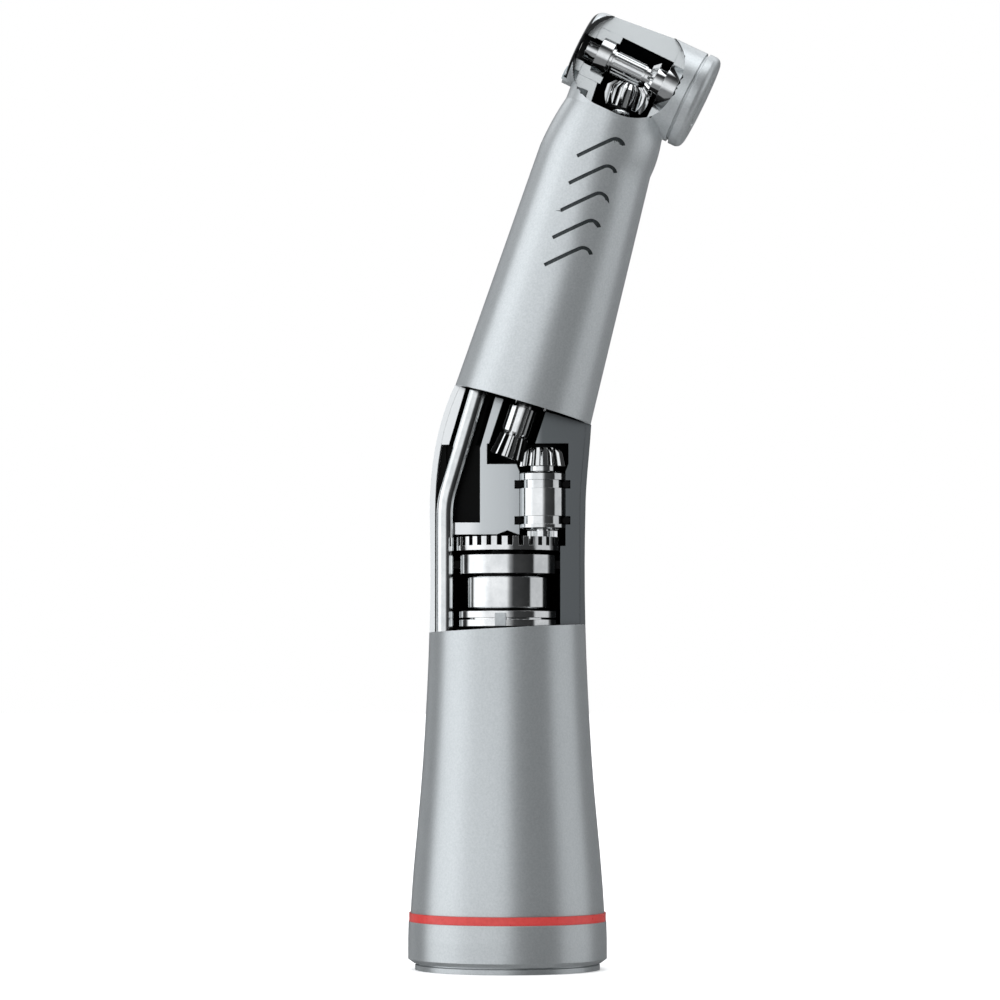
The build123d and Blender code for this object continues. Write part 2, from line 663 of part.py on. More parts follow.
lower_bearing, upper_bearing = DRIVE_BEARING_HEIGHTS
drive_bearings = ball_bearing([HANDLE.offset(height) for height in DRIVE_BEARING_HEIGHTS],
                              DRIVE_SHAFT_RADIUS, DRIVE_BEARING_RADIUS, DRIVE_BEARING_WIDTH,
                              DRIVE_BEARING_BALLS)
drive_bearing_outer_races, drive_bearing_inner_races, drive_bearing_balls = drive_bearings
drive_bearing_outer_races.label = "drive_bearing_outer_races"
export_step(drive_bearing_outer_races, "parts/drive_bearing_outer_races.step")
drive_bearing_inner_races.label = "drive_bearing_inner_races"
export_step(drive_bearing_inner_races, "parts/drive_bearing_inner_races.step")
drive_bearing_balls.label = "drive_bearing_balls"
export_step(drive_bearing_balls, "parts/drive_bearing_balls.step")

with BuildPart() as drive_bearing_rings:
    with BuildSketch(*[HANDLE.offset(height - CUSHION_HEIGHT / 2) for height in DRIVE_BEARING_HEIGHTS]):
        Circle(DRUM_CAVITY_RADIUS)
        Circle(DRIVE_BEARING_RADIUS, mode=Mode.SUBTRACT)
    extrude(amount=CUSHION_HEIGHT)
    add(front_opening.part, mode=Mode.SUBTRACT)
drive_bearing_rings.part.label = "drive_bearing_rings"
export_step(drive_bearing_rings.part, "parts/drive_bearing_rings.step")

nut_floor = lower_bearing + DRIVE_BEARING_WIDTH / 2 + NUT_STANDOFF
washer_floor = nut_floor + WASHER_THICKNESS + NUT_GAP
spacer_floor = washer_floor + WASHER_THICKNESS
spacer_top = upper_bearing - DRIVE_BEARING_WIDTH / 2
with BuildPart() as bearing_spacer:
    revolve(outline(HANDLE, [
        (DRIVE_SHAFT_RADIUS, spacer_floor), (HUB_RADIUS, spacer_floor),
        (HUB_RADIUS, spacer_floor + SPACER_LIP),
        (SPACER_RADIUS - SPACER_CHAMFER, spacer_floor + SPACER_LIP),
        (SPACER_RADIUS, spacer_floor + SPACER_LIP + SPACER_CHAMFER),
        (SPACER_RADIUS, spacer_top - SPACER_LIP - SPACER_CHAMFER),
        (SPACER_RADIUS - SPACER_CHAMFER, spacer_top - SPACER_LIP), (HUB_RADIUS, spacer_top - SPACER_LIP),
        (HUB_RADIUS, spacer_top), (DRIVE_SHAFT_RADIUS, spacer_top),
    ]), axis=Axis.Z)
bearing_spacer.part.label = "bearing_spacer"
export_step(bearing_spacer.part, "parts/bearing_spacer.step")

tab_turn = radians(TAB_ANGLE)
TAB = Plane(origin=(0, 0, nut_floor), x_dir=(cos(tab_turn), sin(tab_turn), 0), z_dir=(0, 0, 1))
with BuildPart() as lock_tab:
    with BuildSketch(TAB):
        with Locations((TAB_REACH - TAB_THICKNESS / 2, 0)):
            Rectangle(TAB_THICKNESS, TAB_WIDTH)
    extrude(amount=TAB_HEIGHT)
lock_tab.part.label = "lock_tab"
export_step(lock_tab.part, "parts/lock_tab.step")

with BuildPart() as preload_washer:
    with BuildSketch(HANDLE.offset(washer_floor)):
        Circle(WASHER_RADIUS)
        Circle(DRIVE_SHAFT_RADIUS, mode=Mode.SUBTRACT)
    extrude(amount=WASHER_THICKNESS)
    add(lock_tab.part, mode=Mode.SUBTRACT)
preload_washer.part.label = "preload_washer"
export_step(preload_washer.part, "parts/preload_washer.step")

with BuildPart() as retaining_nut:
    with BuildSketch(HANDLE.offset(nut_floor)):
        Circle(WASHER_RADIUS)
        Circle(DRIVE_SHAFT_RADIUS, mode=Mode.SUBTRACT)
    extrude(amount=WASHER_THICKNESS)
    with BuildSketch(HANDLE.offset(nut_floor + WASHER_THICKNESS)):
        Circle(WASHER_RADIUS - NUT_STEP)
        Circle(DRIVE_SHAFT_RADIUS, mode=Mode.SUBTRACT)
    extrude(amount=NUT_GAP)
    with BuildSketch(HANDLE.offset(lower_bearing + DRIVE_BEARING_WIDTH / 2)):
        Circle(HUB_RADIUS)
        Circle(DRIVE_SHAFT_RADIUS, mode=Mode.SUBTRACT)
    extrude(amount=NUT_STANDOFF)
    add(lock_tab.part, mode=Mode.SUBTRACT)
retaining_nut.part.label = "retaining_nut"
export_step(retaining_nut.part, "parts/retaining_nut.step")

# ---- driver dog: it takes the motor's claw, and a spring lets it slide up until they mesh
with BuildPart() as driver_dog:
    revolve(outline(HANDLE, [
        (DRIVE_TAIL_RADIUS + RUNNING_GAP, DOG_FLOOR), (DOG_RADIUS, DOG_FLOOR),
        (DOG_RADIUS, DOG_TOP), (DRIVE_TAIL_RADIUS + RUNNING_GAP, DOG_TOP),
    ]), axis=Axis.Z)
    with BuildSketch(HANDLE.offset(DOG_FLOOR - DOG_CLAW)):
        Circle(DOG_RADIUS)
        Circle(DRIVE_TAIL_RADIUS + DOG_BORE_STEP, mode=Mode.SUBTRACT)
        Rectangle(2 * DOG_RADIUS, DOG_SLOT, mode=Mode.SUBTRACT)
    extrude(amount=DOG_CLAW)
driver_dog.part.label = "driver_dog"
export_step(driver_dog.part, "parts/driver_dog.step")

driver_end = DRIVER_WIRE + DRIVER_SPRING_PLAY
with BuildPart() as driver_spring:
    add(coil(HANDLE, DOG_TOP + driver_end, DRUM_CAVITY_FLOOR - DOG_TOP - 2 * driver_end,
             (DRIVE_TAIL_RADIUS + DOG_RADIUS) / 2 - DRIVER_WIRE, DRIVER_TURNS, DRIVER_WIRE))
driver_spring.part.label = "driver_spring"
export_step(driver_spring.part, "parts/driver_spring.step")

with BuildPart() as driver_circlip:
    with BuildSketch(HANDLE.offset(DRIVE_TAIL_END + CIRCLIP_PLAY)):
        Circle(DRIVE_TAIL_RADIUS + CIRCLIP_REACH)
        Circle(clip_seat, mode=Mode.SUBTRACT)
    extrude(amount=CIRCLIP_HEIGHT - 2 * CIRCLIP_PLAY)
driver_circlip.part.label = "driver_circlip"
export_step(driver_circlip.part, "parts/driver_circlip.step")

# ---- intermediate shaft in its cartridge
with BuildPart() as cartridge:
    revolve(outline(INTERMEDIATE, [
        (CARTRIDGE_SEAT_RADIUS, CARTRIDGE_FLOOR), (CARTRIDGE_RADIUS - CARTRIDGE_CHAMFER, CARTRIDGE_FLOOR),
        (CARTRIDGE_RADIUS, CARTRIDGE_FLOOR + CARTRIDGE_CHAMFER),
        (CARTRIDGE_RADIUS, CARTRIDGE_TOP - CARTRIDGE_CHAMFER),
        (CARTRIDGE_RADIUS - CARTRIDGE_CHAMFER, CARTRIDGE_TOP), (CARTRIDGE_SEAT_RADIUS, CARTRIDGE_TOP),
    ]), axis=axis_of(INTERMEDIATE))
    with BuildSketch(*[INTERMEDIATE.offset(height - ORING_GROOVE_WIDTH / 2) for height in ORING_HEIGHTS]):
        Circle(2 * CARTRIDGE_RADIUS)
        Circle(CARTRIDGE_RADIUS - ORING_GROOVE_DEPTH, mode=Mode.SUBTRACT)
    extrude(amount=ORING_GROOVE_WIDTH, mode=Mode.SUBTRACT)
cartridge.part.label = "cartridge"
export_step(cartridge.part, "parts/cartridge.step")

with BuildPart(*[INTERMEDIATE.offset(height) for height in ORING_HEIGHTS]) as cartridge_orings:
    Torus(CARTRIDGE_RADIUS - ORING_GROOVE_DEPTH + ORING_WIRE + ORING_PLAY, ORING_WIRE)
cut_orings = cartridge_orings.part - front_opening.part
cut_orings.label = "cartridge_orings"
export_step(cut_orings, "parts/cartridge_orings.step")

bearing_half = INTERMEDIATE_BEARING_WIDTH / 2
bearing_inset = INTERMEDIATE_BEARING_INSET + bearing_half
intermediate_places = [INTERMEDIATE.offset(CARTRIDGE_FLOOR + bearing_inset),
                       INTERMEDIATE.offset(CARTRIDGE_TOP - bearing_inset)]
intermediate_bearings = ball_bearing(intermediate_places, INTERMEDIATE_RADIUS, CARTRIDGE_SEAT_RADIUS,
                                     INTERMEDIATE_BEARING_WIDTH, SMALL_BEARING_BALLS)
intermediate_outer_races, intermediate_inner_races, intermediate_balls = intermediate_bearings
intermediate_outer_races.label = "intermediate_outer_races"
export_step(intermediate_outer_races, "parts/intermediate_outer_races.step")
intermediate_inner_races.label = "intermediate_inner_races"
export_step(intermediate_inner_races, "parts/intermediate_inner_races.step")
intermediate_balls.label = "intermediate_balls"
export_step(intermediate_balls, "parts/intermediate_balls.step")

with BuildPart() as intermediate_shaft:
    with BuildSketch(INTERMEDIATE.offset(PINION_FLOOR)):
        Circle(INTERMEDIATE_RADIUS)
    extrude(amount=CROWN_TOP - CROWN_SHAFT_DEPTH - PINION_FLOOR)
intermediate_shaft.part.label = "intermediate_shaft"
export_step(intermediate_shaft.part, "parts/intermediate_shaft.step")

with BuildPart() as intermediate_pinion:
    with BuildSketch(INTERMEDIATE.offset(PINION_FLOOR)):
        Circle(PINION_ROOT_RADIUS)
        with PolarLocations(PINION_TIP_RADIUS / 2, PINION_TEETH):
            Rectangle(PINION_TIP_RADIUS, PINION_TOOTH_WIDTH)
        Circle(INTERMEDIATE_RADIUS, mode=Mode.SUBTRACT)
    extrude(amount=PINION_TOP - PINION_FLOOR)
intermediate_pinion.part.label = "intermediate_pinion"
export_step(intermediate_pinion.part, "parts/intermediate_pinion.step")

# ---- the bevel pair at the bend shares one apex, where the intermediate axis meets the shaft's axis
bend_angle = radians(SHAFT_TILT)
crown_cone = atan2(sin(bend_angle), NECK_PINION_TEETH / CROWN_TEETH + cos(bend_angle))
neck_pinion_cone = bend_angle - crown_cone
apex_z = BEND_Z + OFFSET_AXIS / tan(bend_angle)
apex_along_shaft = OFFSET_AXIS / sin(bend_angle)


def crown_section(height):
    return gear_outline(INTERMEDIATE.offset(height), CROWN_TEETH, (apex_z - height) * tan(crown_cone),
                        crown_cone, pi)


def neck_pinion_section(distance):
    pitch_radius = (apex_along_shaft - distance) * tan(neck_pinion_cone)
    return gear_outline(SHAFT.offset(distance), NECK_PINION_TEETH, pitch_radius, neck_pinion_cone,
                        pi / NECK_PINION_TEETH)


crown_rim = (CROWN_RIM_RADIUS, CROWN_FLOOR + CROWN_RIM_HEIGHT)
crown_neck_floor = CROWN_COLLAR_FLOOR - CROWN_NECK_DROP
with BuildPart() as crown_gear:
    loft([crown_section(CROWN_FLOOR), crown_section(CROWN_TOP)], ruled=True)
    with BuildSketch(side_of(INTERMEDIATE)):
        with BuildLine():
            Polyline((CROWN_FLAT_RADIUS, CROWN_TOP), (0, CROWN_TOP), (0, CROWN_FLOOR),
                     (CROWN_RIM_RADIUS, CROWN_FLOOR), crown_rim)
            ThreePointArc(crown_rim, (CROWN_DOME[0], CROWN_FLOOR + CROWN_DOME[1]),
                          (CROWN_FLAT_RADIUS, CROWN_TOP))
        make_face()
    revolve(axis=axis_of(INTERMEDIATE), mode=Mode.INTERSECT)
    revolve(outline(INTERMEDIATE, [
        (0, crown_neck_floor), (CROWN_NECK_RADIUS, crown_neck_floor),
        (CROWN_NECK_RADIUS, CROWN_COLLAR_FLOOR),
        (CROWN_COLLAR_RADIUS, CROWN_COLLAR_FLOOR), (CROWN_COLLAR_RADIUS, CROWN_FLOOR),
        (0, CROWN_FLOOR),
    ]), axis=axis_of(INTERMEDIATE))
    with BuildSketch(INTERMEDIATE.offset(PINION_FLOOR)):
        Circle(INTERMEDIATE_RADIUS)
    extrude(amount=CROWN_TOP - CROWN_SHAFT_DEPTH - PINION_FLOOR, mode=Mode.SUBTRACT)
crown_gear.part.label = "crown_gear"
export_step(crown_gear.part, "parts/crown_gear.step")

# ---- neck shaft
with BuildPart() as neck_pinion:
    loft([neck_pinion_section(0), neck_pinion_section(NECK_PINION_FACE)], ruled=True)
    revolve(outline(SHAFT, [
        (0, NECK_PINION_FACE), (NECK_PINION_HUB_RADIUS - NECK_PINION_HUB_CHAMFER[0], NECK_PINION_FACE),
        (NECK_PINION_HUB_RADIUS, NECK_PINION_FACE + NECK_PINION_HUB_CHAMFER[1]),
        (NECK_PINION_HUB_RADIUS, NECK_PINION_END), (0, NECK_PINION_END),
    ]), axis=axis_of(SHAFT))
    with BuildSketch(SHAFT.offset(NECK_PINION_FACE)):
        with PolarLocations(NECK_PINION_HUB_RADIUS, NECK_PINION_TEETH):
            Rectangle(*NECK_PINION_FLUTE)
    extrude(amount=NECK_PINION_END - NECK_PINION_FACE, mode=Mode.SUBTRACT)
    with BuildSketch(SHAFT):
        Circle(NECK_SHAFT_RADIUS)
    extrude(amount=NECK_PINION_END, mode=Mode.SUBTRACT)
neck_pinion.part.label = "neck_pinion"
export_step(neck_pinion.part, "parts/neck_pinion.step")

# ---- the bevel pair in the head shares the point where the shaft's axis meets the spindle's
head_angle = pi - acos(SHAFT.z_dir.dot(HEAD.z_dir))
neck_gear_cone = atan2(sin(head_angle), SPINDLE_GEAR_TEETH / NECK_GEAR_TEETH + cos(head_angle))
spindle_gear_cone = head_angle - neck_gear_cone
spindle_gear_radius = NECK_GEAR_RADIUS * SPINDLE_GEAR_TEETH / NECK_GEAR_TEETH
neck_gear_reach = NECK_GEAR_RADIUS / tan(neck_gear_cone)
spindle_gear_reach = spindle_gear_radius / tan(spindle_gear_cone)
face_end = 1 - HEAD_GEAR_FACE_SHARE
neck_gear_foot = HEAD_DISTANCE - neck_gear_reach


def neck_gear_section(share):
    plane = SHAFT.offset(HEAD_DISTANCE - neck_gear_reach * share)
    return gear_outline(plane, NECK_GEAR_TEETH, NECK_GEAR_RADIUS * share, neck_gear_cone, 0)


def spindle_gear_section(share):
    plane = HEAD.offset(spindle_gear_reach * share)
    return gear_outline(plane, SPINDLE_GEAR_TEETH, spindle_gear_radius * share, spindle_gear_cone,
                        pi / SPINDLE_GEAR_TEETH)


neck_shaft_end = neck_gear_foot + SHAFT_START
with BuildPart() as neck_shaft:
    with BuildSketch(SHAFT.offset(SHAFT_START)):
        Circle(NECK_SHAFT_RADIUS)
    extrude(amount=neck_shaft_end - SHAFT_START)
    # a collar against each bearing
    with BuildSketch(SHAFT.offset(NECK_BEARING_PLACES[0] + NECK_BEARING_WIDTH / 2)):
        Circle(NECK_SHAFT_RADIUS + NECK_COLLAR_STEP)
    extrude(amount=NECK_BEARING_PLACES[1] - NECK_BEARING_PLACES[0] - NECK_BEARING_WIDTH)
neck_shaft.part.label = "neck_shaft"
export_step(neck_shaft.part, "parts/neck_shaft.step")

petal_eye = (PETAL_EYE_RADIUS, neck_gear_foot - PETAL_DOME)
with BuildPart() as neck_head_gear:
    with BuildSketch(side_of(SHAFT)):
        with BuildLine():
            Polyline((PETAL_RIM_RADIUS, neck_gear_foot), (0, neck_gear_foot),
                     (0, neck_gear_foot - PETAL_DOME), petal_eye)
            ThreePointArc(petal_eye, (PETAL_SHOULDER[0], neck_gear_foot - PETAL_SHOULDER[1]),
                          (PETAL_RIM_RADIUS, neck_gear_foot))
        make_face()
    revolve(axis=axis_of(SHAFT))
    petal_foot = SHAFT.offset(neck_gear_foot - PETAL_LENGTH)
    neck_gear_prism = extrude(
        gear_outline(petal_foot, NECK_GEAR_TEETH, NECK_GEAR_RADIUS, neck_gear_cone, 0),
        amount=PETAL_LENGTH, dir=SHAFT.z_dir, mode=Mode.PRIVATE)
    with BuildSketch(petal_foot):
        Circle(PETAL_BLANK_RADIUS)
    whole = extrude(amount=PETAL_LENGTH, mode=Mode.PRIVATE)
    add(whole - neck_gear_prism, mode=Mode.SUBTRACT)
    loft([neck_gear_section(1), neck_gear_section(face_end)], ruled=True)
    with BuildSketch(SHAFT.offset(neck_gear_foot - PETAL_DOME)):
        Circle(NECK_SHAFT_RADIUS)
    extrude(amount=neck_shaft_end - neck_gear_foot + PETAL_DOME, mode=Mode.SUBTRACT)
neck_head_gear.part.label = "neck_head_gear"
export_step(neck_head_gear.part, "parts/neck_head_gear.step")

neck_bearings = ball_bearing([SHAFT.offset(distance) for distance in NECK_BEARING_PLACES],
                             NECK_SHAFT_RADIUS, NECK_BORE_RADIUS, NECK_BEARING_WIDTH,
                             SMALL_BEARING_BALLS)
neck_outer_races, neck_inner_races, neck_balls = neck_bearings
neck_outer_races.label = "neck_outer_races"
export_step(neck_outer_races, "parts/neck_outer_races.step")
neck_inner_races.label = "neck_inner_races"
export_step(neck_inner_races, "parts/neck_inner_races.step")
neck_balls.label = "neck_balls"
export_step(neck_balls, "parts/neck_balls.step")

# ---- neck casing
GRIP = Plane(origin=NECK.origin, x_dir=NECK.x_dir, z_dir=(0, -1, 0))
with BuildPart() as grip_grooves:
    for number in range(GROOVE_COUNT):
        drop = -GROOVE_PITCH * number
        low = (GROOVE_LOW[0], GROOVE_LOW[1] + drop)
        high = (GROOVE_HIGH[0], GROOVE_HIGH[1] + drop)
        end = (GROOVE_END[0], GROOVE_END[1] + drop)
        rise = (GROOVE_HIGH[0] - GROOVE_LOW[0], GROOVE_HIGH[1] - GROOVE_LOW[1])
        with BuildSketch(GRIP):
            with BuildLine():
                Line(low, high)
                TangentArc(high, end, tangent=rise)
            trace(line_width=GROOVE_WIDTH)
        extrude(amount=OPENING_SIZE)
with BuildPart() as neck_sleeve:
    add(neck_body(0))
    add(grip_grooves.part & (neck_body(0) - neck_body(GROOVE_DEPTH)), mode=Mode.SUBTRACT)
    add(neck_body(NECK_WALL), mode=Mode.SUBTRACT)
    with BuildSketch(NECK.offset(BEND_REACH - CORE_ENTRY)):
        Circle(NECK_FOOT_RADIUS - NECK_WALL)
    extrude(amount=CORE_ENTRY + CORE_GAP, mode=Mode.SUBTRACT)
neck_sleeve.part.label = "neck_sleeve"
export_step(neck_sleeve.part, "parts/neck_sleeve.step")

with BuildPart() as neck_core:
    add(neck_body(NECK_WALL))
    with BuildSketch(NECK.offset(BEND_REACH - CORE_ENTRY)):
        Circle(NECK_FOOT_RADIUS)
    extrude(amount=CORE_ENTRY + CORE_GAP, mode=Mode.SUBTRACT)
    with BuildSketch(SHAFT):
        Circle(NECK_BORE_RADIUS)
    extrude(amount=HEAD_DISTANCE, mode=Mode.SUBTRACT)
    add(light_guide.part, mode=Mode.SUBTRACT)
    add(light_rod.part, mode=Mode.SUBTRACT)
    for part_of_line in lines.values():
        add(part_of_line, mode=Mode.SUBTRACT)
neck_core.part.label = "neck_core"
export_step(neck_core.part, "parts/neck_core.step")

# ---- head
with BuildPart(Plane(origin=place(HEAD, LENS_DROP, 0, HEAD_BUR_END + LENS_INSET), x_dir=HEAD.x_dir,
                     z_dir=-HEAD.z_dir)) as light_lens:
    Cylinder(LENS_RADIUS, LENS_DEPTH, align=(Align.CENTER, Align.CENTER, Align.MAX))
    Sphere(LENS_RADIUS)
    split(bisect_by=Plane(origin=place(HEAD, LENS_DROP, 0, HEAD_BUR_END - LENS_FACE), z_dir=HEAD.z_dir))
light_lens.part.label = "light_lens"
export_step(light_lens.part, "parts/light_lens.step")

with BuildPart(Plane(origin=place(HEAD, LENS_DROP, 0, HEAD_BUR_END), x_dir=HEAD.x_dir,
                     z_dir=HEAD.z_dir)) as lens_boss:
    Cylinder(LENS_RADIUS + LENS_BOSS_WALL, LENS_BOSS_LENGTH, align=(Align.CENTER, Align.CENTER, Align.MIN))

with BuildPart() as head_housing:
    with BuildSketch(side_of(HEAD)):
        with BuildLine():
            Polyline((0, HEAD_BUR_END), (HEAD_NOSE_FLAT, HEAD_BUR_END))
            ThreePointArc((HEAD_NOSE_FLAT, HEAD_BUR_END), HEAD_NOSE_ARC, HEAD_NOSE_EDGE)
            Polyline(HEAD_NOSE_EDGE, *HEAD_BARREL, (0, HEAD_CAP_END), (0, HEAD_BUR_END))
        make_face()
    revolve(axis=axis_of(HEAD))
    with BuildSketch(SEAM):
        with Locations((SEAM_SHIFT, 0)):
            Circle(SEAM_RADIUS)
    with BuildSketch(SEAM.offset(SEAM_DISTANCE - STUB_TOP)):
        with Locations((STUB_SHIFT, 0)):
            Ellipse(*STUB_SIZE)
    loft()
    add(lens_boss.part)
    revolve(outline(HEAD, [
        (0, HEAD_BUR_END - 1), (BUR_OPENING_RADIUS, HEAD_BUR_END - 1),
        (BUR_OPENING_RADIUS, HEAD_BORE_FLOOR), (HEAD_BORE_RADIUS, HEAD_BORE_FLOOR),
        (HEAD_BORE_RADIUS, HEAD_BORE_TOP), (CAP_SPIGOT_RADIUS, HEAD_BORE_TOP),
        (CAP_SPIGOT_RADIUS, HEAD_CAP_END), (0, HEAD_CAP_END),
    ]), axis=axis_of(HEAD), mode=Mode.SUBTRACT)
    with BuildSketch(SHAFT.offset(HEAD_DISTANCE)):
        Circle(GEAR_CHAMBER_RADIUS)
    extrude(amount=-2 * SEAM_DISTANCE, mode=Mode.SUBTRACT)
    add(light_lens.part, mode=Mode.SUBTRACT)
    add(light_rod.part, mode=Mode.SUBTRACT)
    for part_of_line in lines.values():
        add(part_of_line, mode=Mode.SUBTRACT)
    add(head_window.part, mode=Mode.SUBTRACT)
head_housing.part.label = "head_housing"
export_step(head_housing.part, "parts/head_housing.step")

front_end = FRONT_BEARING_PLACE - FRONT_BEARING_WIDTH / 2
front_shoulder = FRONT_BEARING_PLACE + FRONT_BEARING_WIDTH / 2
with BuildPart() as nose_bush:
    revolve(outline(HEAD, [
        (NOSE_BUSH_BORE, HEAD_BORE_FLOOR), (HEAD_BORE_RADIUS, HEAD_BORE_FLOOR),
        (HEAD_BORE_RADIUS, front_shoulder + NOSE_BUSH_LIP),
        (FRONT_BEARING_RADIUS, front_shoulder + NOSE_BUSH_LIP), (FRONT_BEARING_RADIUS, front_end),
        (NOSE_BUSH_BORE, front_end),
    ]), axis=axis_of(HEAD))
    add(head_window.part, mode=Mode.SUBTRACT)
nose_bush.part.label = "nose_bush"
export_step(nose_bush.part, "parts/nose_bush.step")

seat_top = REAR_BEARING_PLACE + REAR_BEARING_WIDTH / 2
rim_edge = (CAP_RADIUS, HEAD_CAP_END + CAP_RIM_TOP)
button_bore = BUTTON_RADIUS + BUTTON_FIT
flange_bore = BUTTON_FLANGE_RADIUS + BUTTON_FIT
with BuildPart() as head_cap:
    with BuildSketch(side_of(HEAD)):
        with BuildLine():
            Polyline((REAR_BEARING_RADIUS, HEAD_BORE_TOP), (CAP_SPIGOT_RADIUS, HEAD_BORE_TOP),
                     (CAP_SPIGOT_RADIUS, HEAD_CAP_END), (CAP_GROOVE_RADIUS, HEAD_CAP_END),
                     (CAP_GROOVE_RADIUS, HEAD_CAP_END + CAP_GROOVE_TOP),
                     (CAP_RADIUS, HEAD_CAP_END + CAP_RIM_FOOT), rim_edge)
            ThreePointArc(rim_edge, (CAP_RIM_ARC[0], CAP_TOP - CAP_RIM_ARC[1]), (CAP_FACE_RADIUS, CAP_TOP))
            Polyline((CAP_FACE_RADIUS, CAP_TOP), (button_bore, CAP_TOP), (button_bore, CAP_FLANGE_TOP),
                     (flange_bore, CAP_FLANGE_TOP), (flange_bore, BUTTON_POCKET_FLOOR),
                     (CAP_BORE_RADIUS, BUTTON_POCKET_FLOOR), (CAP_BORE_RADIUS, seat_top),
                     (REAR_BEARING_RADIUS, seat_top), (REAR_BEARING_RADIUS, HEAD_BORE_TOP))
        make_face()
    revolve(axis=axis_of(HEAD))
    add(head_window.part, mode=Mode.SUBTRACT)
head_cap.part.label = "head_cap"
export_step(head_cap.part, "parts/head_cap.step")

button_top = CAP_TOP + BUTTON_FIT
with BuildPart() as push_button:
    revolve(outline(HEAD, [
        (0, BUTTON_FLOOR), (BUTTON_FLANGE_RADIUS, BUTTON_FLOOR), (BUTTON_FLANGE_RADIUS, BUTTON_FLANGE_TOP),
        (BUTTON_RADIUS, BUTTON_FLANGE_TOP), (BUTTON_RADIUS, button_top - BUTTON_CHAMFER),
        (BUTTON_RADIUS - BUTTON_CHAMFER, button_top), (0, button_top),
    ]), axis=axis_of(HEAD))
push_button.part.label = "push_button"
export_step(push_button.part, "parts/push_button.step")

button_coil_end = BUTTON_WIRE + BUTTON_SPRING_PLAY
with BuildPart() as button_spring:
    add(coil(HEAD, BUTTON_POCKET_FLOOR + button_coil_end,
             BUTTON_FLOOR - BUTTON_POCKET_FLOOR - 2 * button_coil_end,
             BUTTON_COIL_RADIUS, BUTTON_TURNS, BUTTON_WIRE))
button_spring.part.label = "button_spring"
export_step(button_spring.part, "parts/button_spring.step")

with BuildPart() as release_pusher:
    revolve(outline(HEAD, [
        (0, PUSHER_TIP), (PUSHER_RADIUS, PUSHER_TIP), (PUSHER_RADIUS, PUSHER_HEAD_FLOOR),
        (PUSHER_HEAD_RADIUS, PUSHER_HEAD_FLOOR), (PUSHER_HEAD_RADIUS, BUTTON_FLOOR), (0, BUTTON_FLOOR),
    ]), axis=axis_of(HEAD))
release_pusher.part.label = "release_pusher"
export_step(release_pusher.part, "parts/release_pusher.step")

spindle_end = seat_top + SPINDLE_REACH
flange_end = front_shoulder + SPINDLE_FLANGE_WIDTH
rib_end = spindle_gear_reach * face_end - SPINDLE_GEAR_GAP
with BuildPart() as spindle:
    revolve(outline(HEAD, [
        (COLLET_RADIUS, front_end), (SPINDLE_RADIUS, front_end), (SPINDLE_RADIUS, front_shoulder),
        (SPINDLE_FLANGE_RADIUS, front_shoulder), (SPINDLE_FLANGE_RADIUS, flange_end),
        (SPINDLE_RIB_RADIUS, flange_end), (SPINDLE_RIB_RADIUS, rib_end), (SPINDLE_RADIUS, rib_end),
        (SPINDLE_RADIUS, spindle_end), (SPINDLE_STOP_RADIUS, spindle_end),
        (SPINDLE_STOP_RADIUS, COLLET_END), (COLLET_RADIUS, COLLET_END),
    ]), axis=axis_of(HEAD))
    with BuildSketch(HEAD.offset(flange_end + SPINDLE_FLUTE_INSET)):
        with PolarLocations(SPINDLE_RIB_RADIUS, SPINDLE_RIB_COUNT):
            Rectangle(*SPINDLE_FLUTE)
    extrude(amount=rib_end - flange_end - 2 * SPINDLE_FLUTE_INSET, mode=Mode.SUBTRACT)
spindle.part.label = "spindle"
export_step(spindle.part, "parts/spindle.step")

gear_hub_end = REAR_BEARING_PLACE - REAR_BEARING_WIDTH / 2 - GEAR_HUB_GAP
with BuildPart() as spindle_gear:
    loft([spindle_gear_section(1), spindle_gear_section(face_end)], ruled=True)
    revolve(outline(HEAD, [
        (0, spindle_gear_reach), (SPINDLE_GEAR_HUB, spindle_gear_reach),
        (SPINDLE_GEAR_HUB, gear_hub_end), (0, gear_hub_end),
    ]), axis=axis_of(HEAD))
    with BuildSketch(HEAD):
        Circle(SPINDLE_RADIUS)
    extrude(amount=REAR_BEARING_PLACE, mode=Mode.SUBTRACT)
spindle_gear.part.label = "spindle_gear"
export_step(spindle_gear.part, "parts/spindle_gear.step")

with BuildPart() as collet:
    with BuildSketch(HEAD.offset(COLLET_NOSE)):
        Circle(COLLET_RADIUS)
        Circle(BUR_RADIUS, mode=Mode.SUBTRACT)
    extrude(amount=COLLET_END - COLLET_NOSE)
    with BuildSketch(HEAD.offset(COLLET_NOSE)):
        with PolarLocations(COLLET_RADIUS, COLLET_SLOT_COUNT):
            Rectangle(COLLET_RADIUS, COLLET_SLOT)
    extrude(amount=COLLET_SLOT_LENGTH, mode=Mode.SUBTRACT)
collet.part.label = "collet"
export_step(collet.part, "parts/collet.step")

for bearing_name, distance, outside, width, ball_count in (
    ("front_bearing", FRONT_BEARING_PLACE, FRONT_BEARING_RADIUS, FRONT_BEARING_WIDTH,
     FRONT_BEARING_BALLS),
    ("rear_bearing", REAR_BEARING_PLACE, REAR_BEARING_RADIUS, REAR_BEARING_WIDTH,
     REAR_BEARING_BALLS),
):
    pieces = ball_bearing([HEAD.offset(distance)], SPINDLE_RADIUS, outside, width, ball_count)
    for piece, ending in zip(pieces, ("outer_race", "inner_race", "balls")):
        piece.label = f"{bearing_name}_{ending}"
        export_step(piece, f"parts/{bearing_name}_{ending}.step")
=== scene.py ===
# %% [markdown]
# # A cutaway speed-increasing handpiece
# The object is a dental handpiece whose casing is opened at the bend and at the head, so that the gears,
# bearings and seals show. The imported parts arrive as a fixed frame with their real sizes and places.
# This lesson gives every part the finish of its real metal, rubber or glass, rebuilds the pieces whose
# edges the eye rests on, and lights them as a small studio would.

